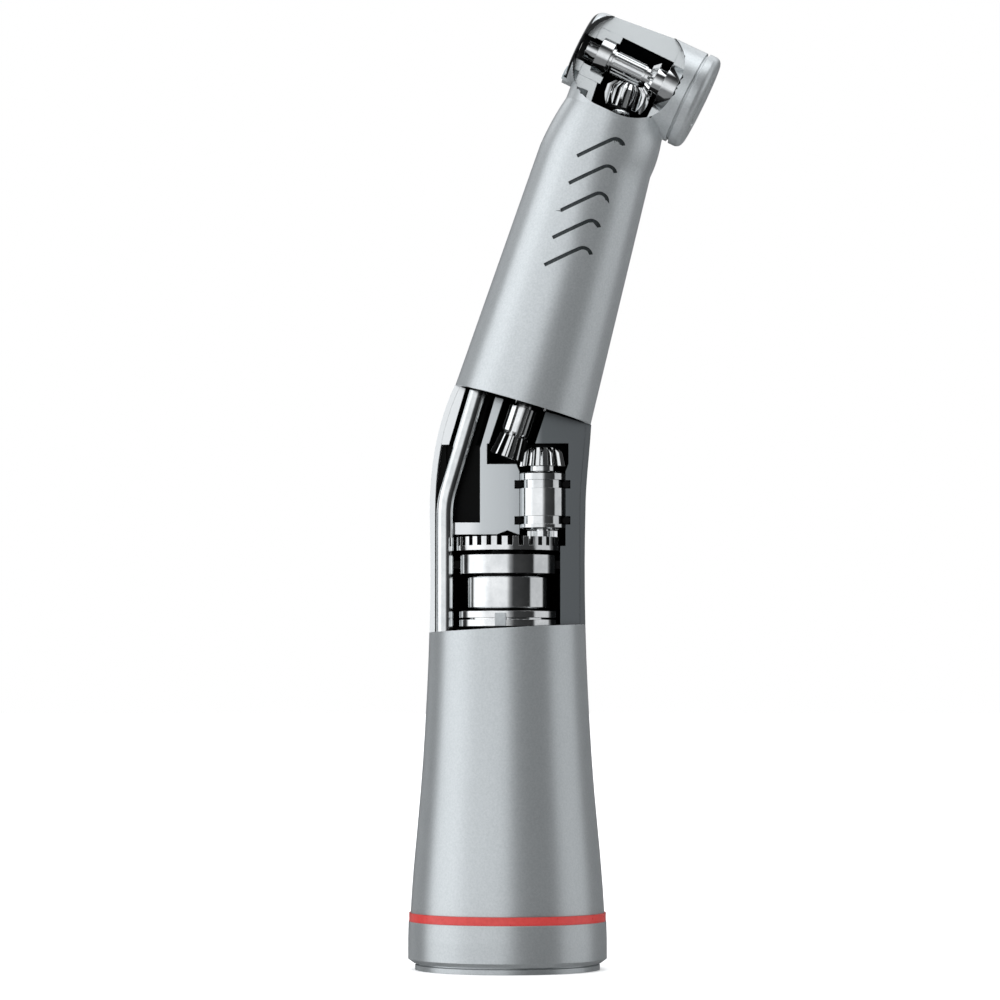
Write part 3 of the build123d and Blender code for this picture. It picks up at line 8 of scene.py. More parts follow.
from math import cos, pi, radians, sin

import bpy
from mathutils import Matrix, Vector


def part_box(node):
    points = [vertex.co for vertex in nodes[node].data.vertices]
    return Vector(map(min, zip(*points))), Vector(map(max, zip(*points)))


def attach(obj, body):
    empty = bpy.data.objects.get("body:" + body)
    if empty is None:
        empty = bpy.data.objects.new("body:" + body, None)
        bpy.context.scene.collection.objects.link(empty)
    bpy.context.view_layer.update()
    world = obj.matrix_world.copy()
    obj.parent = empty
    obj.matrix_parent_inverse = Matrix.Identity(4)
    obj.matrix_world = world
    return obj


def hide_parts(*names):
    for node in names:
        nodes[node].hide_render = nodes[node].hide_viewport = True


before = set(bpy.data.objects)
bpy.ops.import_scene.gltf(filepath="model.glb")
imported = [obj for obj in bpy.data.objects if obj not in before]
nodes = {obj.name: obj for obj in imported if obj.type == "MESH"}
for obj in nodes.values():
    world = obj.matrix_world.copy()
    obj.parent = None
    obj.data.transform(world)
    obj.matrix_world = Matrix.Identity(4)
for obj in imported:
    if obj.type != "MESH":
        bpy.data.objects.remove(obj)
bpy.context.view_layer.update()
print("parts in the frame:", len(nodes))

# %% [markdown]
# Every size below is thought of in millimetres, because that is how a handpiece is drawn, while the scene
# is in metres. One value does the change, so that no bare thousandths appear later.

# %% millimetres and colours
MM = 0.001


def linear(hex_colour):
    """An sRGB hex colour as linear RGBA."""
    channels = [int(hex_colour[i:i + 2], 16) / 255 for i in (1, 3, 5)]
    return tuple(c / 12.92 if c <= 0.04045 else ((c + 0.055) / 1.055) ** 2.4 for c in channels) + (1.0,)


def per_mm(size):
    """The scale that makes one cell of a pattern this many millimetres wide."""
    return 1 / (size * MM)


# %% [markdown]
# A material is a small tree of nodes. One function adds a node, sets its fields and links its sockets, so
# that each recipe below reads as a list of what is joined to what.

# %% one helper for nodes
def add_node(tree, kind, links=None, sockets=None, **fields):
    """Adds a node, sets its fields and the values of its sockets, and links what feeds it."""
    node = tree.nodes.new(kind)
    for name, value in fields.items():
        setattr(node, name, value)
    for name, value in (sockets or {}).items():
        node.inputs[name].default_value = value
    for name, source in (links or {}).items():
        tree.links.new(source, node.inputs[name])
    return node


def set_ramp(node, stops):
    """Fills a colour ramp with (position, value) stops of grey or (position, hex) stops of colour."""
    ramp = node.color_ramp
    while len(ramp.elements) > 1:
        ramp.elements.remove(ramp.elements[-1])
    for i, (position, value) in enumerate(stops):
        element = ramp.elements[0] if i == 0 else ramp.elements.new(position)
        element.position = position
        element.color = linear(value) if isinstance(value, str) else (value, value, value, 1.0)


def new_material(name):
    material = bpy.data.materials.new(name)
    material.use_nodes = True
    material.node_tree.nodes.clear()
    return material, material.node_tree


# %% [markdown]
# ## Steel with three finishes
# The casing is stainless steel blasted with fine beads. That gives a soft, even sheen with a faint sparkle
# of grain: the reflection of a lamp turns into a broad band. The beads leave dents of about a twentieth of
# a millimetre, which would be too fine to show, so the grain is drawn near two tenths.

# %% bead-blasted steel for the casing
def bead_blasted_steel(name, colour, roughness, edge):
    material, tree = new_material(name)
    place = add_node(tree, "ShaderNodeTexCoord")
    grain = add_node(tree, "ShaderNodeTexNoise", {"Vector": place.outputs["Object"]},
                     {"Scale": per_mm(0.2), "Detail": 2.0, "Roughness": 0.6})
    cloud = add_node(tree, "ShaderNodeTexNoise", {"Vector": place.outputs["Object"]},
                     {"Scale": per_mm(9.0), "Detail": 3.0})
    tint = add_node(tree, "ShaderNodeValToRGB", {"Fac": grain.outputs["Fac"]})
    set_ramp(tint, [(0.3, colour[0]), (0.7, colour[1])])
    polish = add_node(tree, "ShaderNodeMapRange", {"Value": cloud.outputs["Fac"]},
                      {"To Min": roughness - 0.03, "To Max": roughness + 0.03})
    rounded = add_node(tree, "ShaderNodeBevel", sockets={"Radius": edge * MM}, samples=4)
    dents = add_node(tree, "ShaderNodeBump",
                     {"Height": grain.outputs["Fac"], "Normal": rounded.outputs["Normal"]},
                     {"Strength": 0.25, "Distance": 0.02 * MM})
    steel = add_node(tree, "ShaderNodeBsdfPrincipled",
                     {"Base Color": tint.outputs["Color"], "Roughness": polish.outputs["Result"],
                      "Normal": dents.outputs["Normal"]}, {"Metallic": 0.68})
    add_node(tree, "ShaderNodeOutputMaterial", {"Surface": steel.outputs["BSDF"]})
    return material


blasted_casing = bead_blasted_steel("bead_blasted_stainless_steel", ("#BCC1C3", "#C8CCCE"), 0.31, 0.08)
neck_casing = bead_blasted_steel("fine_blasted_neck_steel", ("#C2C7C9", "#D0D4D6"), 0.33, 0.05)
# The grooves' tone is painted shade: blasted steel made dark to stand for the shade down in the narrow
# grooves.
groove_painted_shade = bead_blasted_steel("groove_painted_shade_steel", ("#3F4446", "#54595B"), 0.5, 0.02)
print("materials:", blasted_casing.name, neck_casing.name, groove_painted_shade.name)

# %% [markdown]
# The gears, shafts and races are hardened and polished. Their reflections are almost those of a mirror,
# broken only by fine turning lines that run round each piece. Lines of a few hundredths would vanish, so
# they are drawn at a tenth of a millimetre along the height.

# %% polished steel for what turns
def polished_steel(name, colour, roughness, edge):
    material, tree = new_material(name)
    place = add_node(tree, "ShaderNodeTexCoord")
    smear = add_node(tree, "ShaderNodeTexNoise", {"Vector": place.outputs["Object"]},
                     {"Scale": per_mm(2.2), "Detail": 4.0, "Roughness": 0.65})
    speck = add_node(tree, "ShaderNodeTexNoise", {"Vector": place.outputs["Object"]},
                     {"Scale": per_mm(0.12), "Detail": 1.0})
    polish = add_node(tree, "ShaderNodeMapRange", {"Value": smear.outputs["Fac"]},
                      {"From Min": 0.35, "From Max": 0.7, "To Min": roughness * 0.7,
                       "To Max": roughness * 1.6})
    tint = add_node(tree, "ShaderNodeValToRGB", {"Fac": smear.outputs["Fac"]})
    set_ramp(tint, [(0.35, colour[0]), (0.7, colour[1])])
    rounded = add_node(tree, "ShaderNodeBevel", sockets={"Radius": edge * MM}, samples=4)
    lines = add_node(tree, "ShaderNodeBump",
                     {"Height": speck.outputs["Fac"], "Normal": rounded.outputs["Normal"]},
                     {"Strength": 0.06, "Distance": 0.01 * MM})
    steel = add_node(tree, "ShaderNodeBsdfPrincipled",
                     {"Base Color": tint.outputs["Color"], "Roughness": polish.outputs["Result"],
                      "Normal": lines.outputs["Normal"]}, {"Metallic": 1.0})
    add_node(tree, "ShaderNodeOutputMaterial", {"Surface": steel.outputs["BSDF"]})
    return material


polished_gear = polished_steel("polished_hardened_steel", ("#D8DADB", "#F2F3F3"), 0.09, 0.05)
polished_tube = polished_steel("drawn_stainless_tube", ("#D2D5D6", "#ECEEEE"), 0.12, 0.04)
spring_steel = polished_steel("bright_spring_wire", ("#B9BCBE", "#DADCDD"), 0.18, 0.02)
print("materials:", polished_gear.name, polished_tube.name, spring_steel.name)

# %% [markdown]
# Where the casing was sawn open, its face was ground flat and polished, and the sweep across it from near
# white on the left to dark on the right is painted reflection. The chambers behind it are painted black as
# shade, so that the bright gears stand out against them.

# %% ground section faces with a painted reflection sweep, and chambers painted black as shade
SECTION_HALF_WIDTH = 8.0


def ground_section(name, stops, metallic):
    """Flat ground steel whose tone runs from left to right across the section, with the given stops, as a
    painted reflection sweep.
    """
    material, tree = new_material(name)
    place = add_node(tree, "ShaderNodeTexCoord")
    along = add_node(tree, "ShaderNodeSeparateXYZ", {"Vector": place.outputs["Object"]})
    across = add_node(tree, "ShaderNodeMapRange", {"Value": along.outputs["X"]},
                      {"From Min": -SECTION_HALF_WIDTH * MM, "From Max": SECTION_HALF_WIDTH * MM})
    tint = add_node(tree, "ShaderNodeValToRGB", {"Fac": across.outputs["Result"]})
    set_ramp(tint, stops)
    grit = add_node(tree, "ShaderNodeTexNoise", {"Vector": place.outputs["Object"]},
                    {"Scale": per_mm(0.25), "Detail": 2.0})
    rounded = add_node(tree, "ShaderNodeBevel", sockets={"Radius": 0.06 * MM}, samples=4)
    marks = add_node(tree, "ShaderNodeBump",
                     {"Height": grit.outputs["Fac"], "Normal": rounded.outputs["Normal"]},
                     {"Strength": 0.08, "Distance": 0.01 * MM})
    steel = add_node(tree, "ShaderNodeBsdfPrincipled",
                     {"Base Color": tint.outputs["Color"], "Normal": marks.outputs["Normal"]},
                     {"Metallic": metallic, "Roughness": 0.22})
    add_node(tree, "ShaderNodeOutputMaterial", {"Surface": steel.outputs["BSDF"]})
    return material


# Black that stands in for shade: chambers, bores, window walls and tooth gaps get it where the steel would
# lie in shadow.
def shade_black_steel(name):
    material, tree = new_material(name)
    place = add_node(tree, "ShaderNodeTexCoord")
    bloom = add_node(tree, "ShaderNodeTexNoise", {"Vector": place.outputs["Object"]},
                     {"Scale": per_mm(1.5), "Detail": 4.0})
    tint = add_node(tree, "ShaderNodeValToRGB", {"Fac": bloom.outputs["Fac"]})
    set_ramp(tint, [(0.3, "#030303"), (0.7, "#0C0D0D")])
    polish = add_node(tree, "ShaderNodeMapRange", {"Value": bloom.outputs["Fac"]},
                      {"To Min": 0.3, "To Max": 0.5})
    steel = add_node(tree, "ShaderNodeBsdfPrincipled",
                     {"Base Color": tint.outputs["Color"], "Roughness": polish.outputs["Result"]},
                     {"Metallic": 0.0, "IOR": 1.2})
    add_node(tree, "ShaderNodeOutputMaterial", {"Surface": steel.outputs["BSDF"]})
    return material


# The bend's section is painted near white on the left, grey in the middle and dark on the right: a painted
# reflection of the lamps in the flat face.
section_painted_sweep = ground_section("ground_section_painted_reflection", [
    (0.0, "#EFF1F2"), (0.26, "#EFF1F2"), (0.34, "#CBCFD1"), (0.5, "#BEC2C4"), (0.64, "#999DA0"),
    (0.72, "#5C6062"), (1.0, "#595C5E")], 1.0)
pale_section = ground_section("pale_ground_section", [(0.0, "#CFD3D4"), (1.0, "#D8DCDD")], 0.85)
shade_black = shade_black_steel("painted_shade_black")
print("materials:", section_painted_sweep.name, pale_section.name, shade_black.name)

# %% [markdown]
# ## Rubber, ceramic, colour ring and glass
# Seals are black nitrile rubber, dull with a soft sheen. The balls of the head's bearings are silicon
# nitride, a smooth ceramic. The colour ring is enamelled red. The light guide and its lens are clear.

# %% the small finishes
def plain_finish(name, low, high, size, roughness, metallic, bump, edge, **sockets):
    """A finish whose colour and roughness vary a little over patches of the given size."""
    material, tree = new_material(name)
    place = add_node(tree, "ShaderNodeTexCoord")
    patches = add_node(tree, "ShaderNodeTexNoise", {"Vector": place.outputs["Object"]},
                       {"Scale": per_mm(size), "Detail": 3.0})
    tint = add_node(tree, "ShaderNodeValToRGB", {"Fac": patches.outputs["Fac"]})
    set_ramp(tint, [(0.3, low), (0.7, high)])
    sheen = add_node(tree, "ShaderNodeMapRange", {"Value": patches.outputs["Fac"]},
                     {"To Min": roughness * 0.8, "To Max": roughness * 1.2})
    rounded = add_node(tree, "ShaderNodeBevel", sockets={"Radius": edge * MM}, samples=4)
    skin = add_node(tree, "ShaderNodeBump",
                    {"Height": patches.outputs["Fac"], "Normal": rounded.outputs["Normal"]},
                    {"Strength": bump, "Distance": 0.02 * MM})
    values = {"Metallic": metallic}
    values.update(sockets)
    shader = add_node(tree, "ShaderNodeBsdfPrincipled",
                      {"Base Color": tint.outputs["Color"], "Roughness": sheen.outputs["Result"],
                       "Normal": skin.outputs["Normal"]}, values)
    add_node(tree, "ShaderNodeOutputMaterial", {"Surface": shader.outputs["BSDF"]})
    return material


nitrile = plain_finish("black_nitrile_rubber", "#020202", "#060606", 0.3, 0.28, 0.0, 0.2, 0.03, IOR=1.16)
ceramic = plain_finish("silicon_nitride_ceramic", "#D9D8D2", "#E9E8E2", 0.5, 0.12, 0.0, 0.02, 0.01, IOR=2.0)
red_enamel = plain_finish("red_enamel", "#C93A38", "#D34541", 0.4, 0.3, 0.0, 0.1, 0.08, IOR=1.52)
clear_glass = plain_finish("optical_glass", "#B9C4C8", "#D3DCDF", 1.2, 0.06, 0.0, 0.02, 0.03, IOR=1.52)
clear_glass.node_tree.nodes["Principled BSDF"].inputs["Transmission Weight"].default_value = 0.45
print("materials:", nitrile.name, ceramic.name, red_enamel.name, clear_glass.name)

# %% give each carried-over part its finish
FINISHES = {
    blasted_casing: ["end_collar", "head_cap", "push_button", "rear_sleeve", "neck_sleeve", "head_housing",
                     "lock_tab"],
    polished_tube: ["light_guide", "water_tube", "air_tube"],
    polished_gear: [
        "ring_gear", "bearing_spacer", "preload_washer", "retaining_nut", "cartridge", "crown_gear",
        "neck_pinion", "intermediate_pinion", "intermediate_shaft", "neck_shaft", "neck_head_gear", "spindle",
        "spindle_gear",
        "collet", "driver_dog", "driver_circlip", "coupling_bush", "release_pusher",
        "drive_bearing_outer_races", "drive_bearing_balls", "intermediate_outer_races",
        "intermediate_inner_races", "intermediate_balls", "neck_outer_races", "neck_inner_races",
        "neck_balls",
        "front_bearing_outer_race", "front_bearing_inner_race", "rear_bearing_outer_race",
        "rear_bearing_inner_race"],
    spring_steel: ["driver_spring", "button_spring"],
    # These parts lie deep in the casing and are given the black painted shade.
    shade_black: ["core_housing", "neck_core", "nose_bush", "drive_shaft", "drive_bearing_inner_races"],
    nitrile: ["cartridge_orings", "coupling_seal", "drive_bearing_rings"],
    ceramic: ["front_bearing_balls", "rear_bearing_balls"],
    red_enamel: ["colour_ring"],
    clear_glass: ["light_rod", "light_lens"],
}
for material, names in FINISHES.items():
    for name in names:
        node = nodes[name]
        node.data.materials.clear()
        node.data.materials.append(material)
dressed = sum(len(names) for names in FINISHES.values())
print("parts dressed:", dressed, "of", len(nodes))

# %% [markdown]
# ## The opened casing
# Six casing parts show more than one finish: outside they are blasted, the sawn faces are ground and the
# chambers are painted black as shade. A copy of each is merged, because a imported mesh is loose triangles,
# and its faces are then sorted by where they lie and which way they face.

# %% copy a imported part so that its faces can be sorted
MERGE_DISTANCE = 0.0005


def merged_copy(name, body, angle):
    """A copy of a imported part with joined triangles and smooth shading, standing in for it."""
    copy = bpy.data.objects.new(name + "_shown", nodes[name].data.copy())
    bpy.context.scene.collection.objects.link(copy)
    bpy.ops.object.select_all(action="DESELECT")
    copy.select_set(True)
    bpy.context.view_layer.objects.active = copy
    bpy.ops.object.mode_set(mode="EDIT")
    bpy.ops.mesh.select_all(action="SELECT")
    bpy.ops.mesh.remove_doubles(threshold=MERGE_DISTANCE * MM)
    bpy.ops.object.mode_set(mode="OBJECT")
    if copy.data.has_custom_normals:
        bpy.ops.mesh.customdata_custom_splitnormals_clear()
    bpy.ops.object.shade_smooth_by_angle(angle=radians(angle))
    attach(copy, body)
    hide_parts(name)
    return copy


def sort_faces(piece, finishes, choose):
    """Gives each face the finish whose number choose(centre, normal) returns, in millimetres."""
    piece.data.materials.clear()
    for finish in finishes:
        piece.data.materials.append(finish)
    counts = [0] * len(finishes)
    for face in piece.data.polygons:
        face.material_index = choose(face.center / MM, face.normal)
        counts[face.material_index] += 1
    print(piece.name, "faces per finish:", counts)


SECTION_DEPTH = 0.02


def is_section(centre, normal):
    """True for the flat face that the saw left on the middle plane."""
    return abs(centre.y) < SECTION_DEPTH and normal.y < -0.95


# %% [markdown]
# The neck leans by 16.5 degrees from a point 51 mm up, the shaft inside it by a little more, and the head's
# spindle dips by 26.5 degrees. Their directions turn a point of the part into a distance along the neck or
# the spindle. The numbers that follow are in millimetres, and they tell chamber, bore and window apart.

# %% directions of neck, shaft and spindle
BEND = Vector((0.0, 0.0, 51.0))
NECK_TILT = radians(16.5)
SHAFT_TILT = radians(18.25)
SPINDLE_TILT = radians(26.5)
HEAD_DISTANCE = 40.7

neck_along = Vector((sin(NECK_TILT), 0.0, cos(NECK_TILT)))
neck_across = Vector((cos(NECK_TILT), 0.0, -sin(NECK_TILT)))
shaft_along = Vector((sin(SHAFT_TILT), 0.0, cos(SHAFT_TILT)))
head_centre = BEND + HEAD_DISTANCE * shaft_along
spindle_along = Vector((cos(SPINDLE_TILT), 0.0, -sin(SPINDLE_TILT)))
to_neck = Vector((-sin(SPINDLE_TILT), 0.0, -cos(SPINDLE_TILT)))
print("head centre in mm:", [round(c, 2) for c in head_centre])


def along_and_out(point, origin, direction):
    """How far along an axis a point lies, and how far out from it."""
    offset = point - origin
    distance = offset.dot(direction)
    return distance, (offset - distance * direction).length


# %% sort the faces of the opened casing
SLEEVE_CUT_HEIGHT = 33.0
NECK_BORE_RADIUS = 4.3
GROOVE_HALF_WIDTH = 0.19
GROOVE_COUNT = 5
GROOVE_PITCH = 2.83
GROOVE_CORNERS = [Vector((-1.5, 30.4)), Vector((1.35, 32.95)), Vector((2.05, 33.12)), Vector((2.6, 32.7))]
WINDOW_SHIFT = 0.52
WINDOW_HALF_LENGTH = 5.35
WINDOW_HALF_HEIGHT = 5.1
WINDOW_CORNER_RADIUS = 4.4
WINDOW_WALL_DEPTH = 0.06
CHAMBER_RADIUS = 3.75
CHAMBER_START = -6.0
SHAFT_BORE_RADIUS = 3.3


def choose_core(centre, normal):
    return 0 if is_section(centre, normal) else 1


def choose_sleeve(centre, normal):
    return 1 if is_section(centre, normal) and centre.z > SLEEVE_CUT_HEIGHT else 0


def from_stroke(place, start, end):
    """How far a flat point lies from the straight stroke between two others."""
    stroke = end - start
    share = min(1.0, max(0.0, (place - start).dot(stroke) / stroke.length_squared))
    return (place - start - share * stroke).length


def choose_neck(centre, normal):
    distance, out = along_and_out(centre, BEND, neck_along)
    # The bore and inward faces get the black painted shade.
    if out < NECK_BORE_RADIUS or normal.dot(centre - BEND - distance * neck_along) < -0.2 * out:
        return 1
    place = Vector(((centre - BEND).dot(neck_across), distance))
    for number in range(GROOVE_COUNT):
        lowered = place + Vector((0.0, GROOVE_PITCH * number))
        strokes = zip(GROOVE_CORNERS, GROOVE_CORNERS[1:])
        near = min(from_stroke(lowered, start, end) for start, end in strokes)
        # The front faces of the grooves get the groove's painted shade.
        if centre.y < 0 and near < GROOVE_HALF_WIDTH:
            return 2
    return 0


def choose_head(centre, normal):
    if is_section(centre, normal):
        return 1
    distance, out = along_and_out(centre, head_centre, spindle_along)
    down_the_neck = (centre - head_centre).dot(to_neck)
    u = abs(distance + WINDOW_SHIFT) - (WINDOW_HALF_LENGTH - WINDOW_CORNER_RADIUS)
    v = abs(down_the_neck) - (WINDOW_HALF_HEIGHT - WINDOW_CORNER_RADIUS)
    edge = (max(u, 0) ** 2 + max(v, 0) ** 2) ** 0.5 - WINDOW_CORNER_RADIUS
    # The window wall, chamber and bore get the black painted shade.
    in_wall = centre.y < -SECTION_DEPTH and abs(edge) < WINDOW_WALL_DEPTH
    in_chamber = out < CHAMBER_RADIUS and distance > CHAMBER_START
    in_bore = along_and_out(centre, BEND, shaft_along)[1] < SHAFT_BORE_RADIUS and down_the_neck > 0
    return 2 if in_wall or in_chamber or in_bore else 0


def choose_flat(centre, normal):
    return 1 if is_section(centre, normal) else 0


HUB_RADIUS = 0.9


def choose_by_side(origin, direction, share):
    """A choice that keeps what faces outward or endward bright and gives the gaps the second finish, the
    black painted shade.
    """
    def choose(centre, normal):
        distance, out = along_and_out(centre, origin, direction)
        outward = (centre - origin - distance * direction).normalized()
        return 0 if normal.dot(outward) > share or out < HUB_RADIUS else 1
    return choose


# Apart from their sawn faces, the core housing and the nose bush are black painted shade.
core = merged_copy("core_housing", "casing", 30)
sort_faces(core, [section_painted_sweep, shade_black], choose_core)
rear = merged_copy("rear_sleeve", "casing", 30)
sort_faces(rear, [blasted_casing, section_painted_sweep], choose_sleeve)
neck = merged_copy("neck_sleeve", "casing", 30)
sort_faces(neck, [neck_casing, shade_black, groove_painted_shade], choose_neck)
head = merged_copy("head_housing", "casing", 30)
sort_faces(head, [neck_casing, pale_section, shade_black], choose_head)
cap = merged_copy("head_cap", "casing", 30)
sort_faces(cap, [neck_casing, pale_section], choose_flat)
bush = merged_copy("nose_bush", "casing", 30)
sort_faces(bush, [shade_black, pale_section], choose_flat)

# %% [markdown]
# The gears are ground bright on the crests of their teeth, and the gaps between them are given the black
# painted shade. The same sorting tells crest from gap by how far a face looks outward from the gear's own
# axis.

# %% bright crests and gaps painted black as shade on the gears
cartridge_low, cartridge_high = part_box("cartridge")
second_axis = Vector(((cartridge_low[0] + cartridge_high[0]) / 2 / MM, 0.0, 0.0))
upright = Vector((0.0, 0.0, 1.0))
RING_SLOT_RADIUS = 5.1
NARROW_RADIUS = 3.1


# The ring gear's slots get the black painted shade.
def choose_ring(centre, normal):
    in_slot = (centre.x ** 2 + centre.y ** 2) ** 0.5 < RING_SLOT_RADIUS and normal.z < 0.9
    return 1 if in_slot else 0


ring = merged_copy("ring_gear", "drive", 30)
sort_faces(ring, [polished_gear, shade_black], choose_ring)


# The narrow inner parts of spacer and nut get the black painted shade.
def choose_narrow(centre, normal):
    return 1 if (centre.x ** 2 + centre.y ** 2) ** 0.5 < NARROW_RADIUS else 0


spacer = merged_copy("bearing_spacer", "drive", 30)
sort_faces(spacer, [polished_gear, shade_black], choose_narrow)
nut = merged_copy("retaining_nut", "drive", 30)
sort_faces(nut, [polished_gear, shade_black], choose_narrow)
crown = merged_copy("crown_gear", "intermediate", 30)
sort_faces(crown, [polished_gear, shade_black], choose_by_side(second_axis, upright, 0.35))
tulip = merged_copy("neck_head_gear", "neck_rotor", 30)
sort_faces(tulip, [polished_gear, shade_black], choose_by_side(BEND, shaft_along, 0.25))
pinion = merged_copy("neck_pinion", "neck_rotor", 30)
sort_faces(pinion, [polished_gear, shade_black], choose_by_side(BEND, shaft_along, 0.6))

# %% [markdown]
# ## Pieces modelled afresh
# The two seals of the cartridge are pressed between groove and bore, so they are not quite round in
# section: each starts as a torus and is squeezed a little along its axis. The saw took their front halves
# with the casing, so each is cut a hair behind the middle plane and its two ends are closed.

# %% helpers for new pieces
def start_piece(name, finish):
    """Names the primitive just added, dresses it, and opens it for editing with all of it selected."""
    piece = bpy.context.active_object
    piece.name = name
    piece.data.materials.append(finish)
    bpy.ops.object.mode_set(mode="EDIT")
    bpy.ops.mesh.select_all(action="SELECT")
    return piece


def finish_piece(piece, body, slot, angle, *replaced):
    """Leaves edit mode, puts the origin at the frame's, smooths, and hands the piece to its body."""
    bpy.ops.object.mode_set(mode="OBJECT")
    bpy.ops.object.transform_apply(location=True, rotation=True, scale=True)
    bpy.ops.object.shade_smooth_by_angle(angle=radians(angle))
    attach(piece, body)
    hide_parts(*replaced)
    print(piece.name, "faces:", len(piece.data.polygons))


# %% the cartridge's seals, squeezed in their grooves
SEAL_HEIGHTS = (44.7, 48.3)
SEAL_RADIUS = 2.38
SEAL_THICKNESS_RADIUS = 0.39
SEAL_SQUEEZE = 0.96
SAW_OFFSET = 0.002

for seal_height in SEAL_HEIGHTS:
    seal_place = (second_axis.x * MM, 0, seal_height * MM)
    bpy.ops.object.select_all(action="DESELECT")
    bpy.ops.mesh.primitive_torus_add(major_segments=96, minor_segments=24, major_radius=SEAL_RADIUS * MM,
                                     minor_radius=SEAL_THICKNESS_RADIUS * MM, location=seal_place)
    seal = start_piece("pressed_seal_" + str(round(seal_height)), nitrile)
    bpy.ops.transform.resize(value=(1.0, 1.0, SEAL_SQUEEZE), center_override=seal_place)
    bpy.ops.mesh.bisect(plane_co=(0, SAW_OFFSET * MM, 0), plane_no=(0, 1, 0), use_fill=True,
                        clear_inner=True)
    finish_piece(seal, "casing", "black_rubber", 40, "cartridge_orings")

# %% [markdown]
# The push button is turned from a disc. It starts as a cylinder along the spindle, and each ring of its
# face is an inset followed by a small move: a flat rim, a ring groove, and a shallow dish for the thumb.

# %% the push button, turned with a groove and a dish
BUTTON_RADIUS = 2.99
BUTTON_FACE = 7.5
BUTTON_BOTTOM = 6.2
BUTTON_RINGS = ((0.14, 0.0), (0.42, 0.0), (0.07, 0.16), (0.16, 0.0), (0.07, -0.16), (0.3, 0.0), (0.7, 0.12),
                (0.5, 0.05))


def on_spindle(height):
    """A point on the spindle's axis, this many millimetres behind the head's centre, in metres."""
    return (head_centre + height * spindle_along) * MM


bpy.ops.object.select_all(action="DESELECT")
bpy.ops.mesh.primitive_cylinder_add(
    vertices=96, radius=BUTTON_RADIUS * MM, depth=(BUTTON_FACE - BUTTON_BOTTOM) * MM, end_fill_type="NGON",
    location=on_spindle((BUTTON_FACE + BUTTON_BOTTOM) / 2),
    rotation=spindle_along.to_track_quat("Z", "Y").to_euler())
button = start_piece("turned_button", neck_casing)
bpy.ops.object.mode_set(mode="OBJECT")
bpy.ops.object.transform_apply(location=True, rotation=True, scale=True)
face_height = (head_centre + BUTTON_FACE * spindle_along).dot(spindle_along)
for face in button.data.polygons:
    face.select = abs((face.center / MM).dot(spindle_along) - face_height) < 0.01
for edge in button.data.edges:
    edge.select = False
for vertex in button.data.vertices:
    vertex.select = abs((vertex.co / MM).dot(spindle_along) - face_height) < 0.01
bpy.ops.object.mode_set(mode="EDIT")
bpy.ops.mesh.select_mode(type="FACE")
for inset, drop in BUTTON_RINGS:
    bpy.ops.mesh.inset(thickness=inset * MM, depth=0)
    bpy.ops.transform.translate(value=-drop * MM * spindle_along)
finish_piece(button, "button", "satin_steel", 30, "push_button")

# %% [markdown]
# ## The studio
# A metal shows what stands round it, so the lamps matter as much as the steel. A tall softbox to the left
# draws the broad bright band on each cylinder, a narrow one to the right draws the thin line, and between
# them the room is dark. A lamp overhead whitens the floor, and a raised one behind keeps the back lit.

# %% floor
FLOOR_RADIUS = 3.0

bpy.ops.object.select_all(action="DESELECT")
bpy.ops.mesh.primitive_circle_add(vertices=96, radius=FLOOR_RADIUS, fill_type="NGON", location=(0, 0, 0))
floor = bpy.context.active_object
floor.name = "studio_floor"
floor_paint, floor_tree = new_material("matt_white_floor")
floor_place = add_node(floor_tree, "ShaderNodeTexCoord")
floor_cloud = add_node(floor_tree, "ShaderNodeTexNoise", {"Vector": floor_place.outputs["Object"]},
                       {"Scale": per_mm(40.0)})
floor_tint = add_node(floor_tree, "ShaderNodeValToRGB", {"Fac": floor_cloud.outputs["Fac"]})
set_ramp(floor_tint, [(0.3, "#F6F6F6"), (0.7, "#F8F8F8")])
floor_shader = add_node(floor_tree, "ShaderNodeBsdfPrincipled", {"Base Color": floor_tint.outputs["Color"]},
                        {"Roughness": 0.7, "Emission Color": linear("#FFFFFF"), "Emission Strength": 0.45})
add_node(floor_tree, "ShaderNodeOutputMaterial", {"Surface": floor_shader.outputs["BSDF"]})
floor.data.materials.append(floor_paint)
floor.visible_glossy = False
print("floor radius in m:", FLOOR_RADIUS)

# %% softboxes as bright parts of the sky
FRONT_STRENGTH = 1.5
OVERHEAD_STRENGTH = 2.0

world = bpy.data.worlds.new("studio")
world.use_nodes = True
bpy.context.scene.world = world
sky = world.node_tree
sky.nodes.clear()
look = add_node(sky, "ShaderNodeTexCoord")
axes = add_node(sky, "ShaderNodeSeparateXYZ", {"Vector": look.outputs["Generated"]})
forward = add_node(sky, "ShaderNodeMath", {0: axes.outputs["Y"]}, {1: -1.0}, operation="MULTIPLY")
azimuth = add_node(sky, "ShaderNodeMath", {0: axes.outputs["X"], 1: forward.outputs[0]},
                   operation="ARCTAN2")
turn = add_node(sky, "ShaderNodeMapRange", {"Value": azimuth.outputs[0]},
                {"From Min": -pi, "From Max": pi})


def at(degrees):
    """The ramp's position of a direction, counted from the front towards the right."""
    return degrees / 360 + 0.5


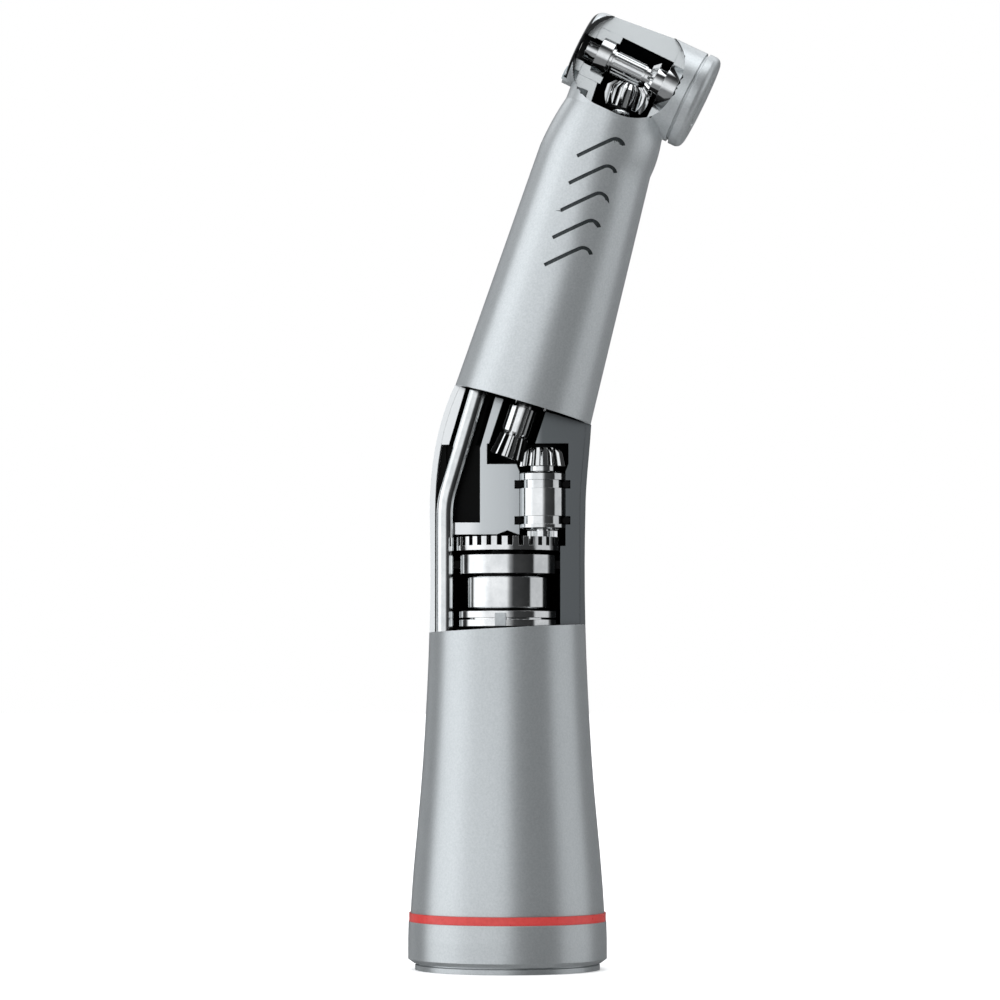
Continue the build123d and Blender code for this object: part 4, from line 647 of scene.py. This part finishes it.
round_the_room = add_node(sky, "ShaderNodeValToRGB", {"Fac": turn.outputs["Result"]})
set_ramp(round_the_room, [
    (at(-160), 0.02), (at(-155), 0.16), (at(-132), 0.16), (at(-126), 0.02), (at(-108), 0.03),
    (at(-99), 0.95),
    (at(-64), 1.0), (at(-46), 0.68), (at(1), 0.68), (at(9), 0.22), (at(18), 0.04), (at(66), 0.02),
    (at(71), 0.45), (at(112), 0.45), (at(119), 0.05), (at(150), 0.1),
])
height = add_node(sky, "ShaderNodeMapRange", {"Value": axes.outputs["Z"]},
                  {"From Min": -1.0, "From Max": 1.0})
softbox_height = add_node(sky, "ShaderNodeValToRGB", {"Fac": height.outputs["Result"]})
set_ramp(softbox_height, [(0.35, 0.25), (0.46, 1.0), (0.82, 1.0), (0.92, 0.3)])
softboxes = add_node(sky, "ShaderNodeMath",
                     {0: round_the_room.outputs["Color"], 1: softbox_height.outputs["Color"]},
                     operation="MULTIPLY")
overhead = add_node(sky, "ShaderNodeValToRGB", {"Fac": height.outputs["Result"]})
set_ramp(overhead, [(0.9, 0.0), (0.95, 1.0)])
overhead_lamp = add_node(sky, "ShaderNodeMath", {0: overhead.outputs["Color"]}, {1: OVERHEAD_STRENGTH},
                         operation="MULTIPLY")
behind = add_node(sky, "ShaderNodeMapRange", {"Value": axes.outputs["Y"]},
                  {"From Min": 0.35, "From Max": 0.6})
raised = add_node(sky, "ShaderNodeMapRange", {"Value": axes.outputs["Z"]},
                  {"From Min": 0.3, "From Max": 0.5})
back_lamp = add_node(sky, "ShaderNodeMath", {0: behind.outputs["Result"], 1: raised.outputs["Result"]},
                     operation="MULTIPLY")
front_lamps = add_node(sky, "ShaderNodeMath", {0: softboxes.outputs[0]}, {1: FRONT_STRENGTH},
                       operation="MULTIPLY")
lamps = add_node(sky, "ShaderNodeMath", {0: front_lamps.outputs[0], 1: overhead_lamp.outputs[0]},
                 operation="ADD")
all_lamps = add_node(sky, "ShaderNodeMath", {0: lamps.outputs[0], 1: back_lamp.outputs[0]},
                     operation="ADD")
light = add_node(sky, "ShaderNodeBackground", {"Strength": all_lamps.outputs[0]},
                 {"Color": linear("#FBFDFF")})
backdrop = add_node(sky, "ShaderNodeBackground", sockets={"Color": linear("#FFFFFF"), "Strength": 1.0})
seen = add_node(sky, "ShaderNodeLightPath")
mix = add_node(sky, "ShaderNodeMixShader",
               {0: seen.outputs["Is Camera Ray"], 1: light.outputs["Background"],
                2: backdrop.outputs["Background"]})
add_node(sky, "ShaderNodeOutputWorld", {"Surface": mix.outputs["Shader"]})
bpy.context.scene.view_settings.view_transform = "Standard"
print("lamps: left softbox, right strip, overhead, raised back lamp")

# %% [markdown]
# The camera stands a little to the right and a little below the middle, far enough off that the handpiece
# keeps its true proportions.

# %% camera
SENSOR_WIDTH = 36.0
SHOWN_WIDTH = 0.1

aim = Vector((-0.75, 0.0, 46.75)) * MM
turned, raised_by, reach = radians(3.1), radians(-2.3), 0.44
back = Vector((sin(turned) * cos(raised_by), -cos(turned) * cos(raised_by), sin(raised_by)))
bpy.ops.object.camera_add(location=aim + reach * back)
camera = bpy.context.active_object
camera.name = "studio_camera"
camera.rotation_mode = "QUATERNION"
camera.rotation_quaternion = (-back).to_track_quat("-Z", "Y")
camera.data.sensor_width = SENSOR_WIDTH
camera.data.lens = SENSOR_WIDTH * reach / SHOWN_WIDTH
camera.data.clip_start = 0.01
bpy.context.scene.camera = camera
print("lens in mm:", round(camera.data.lens, 1))
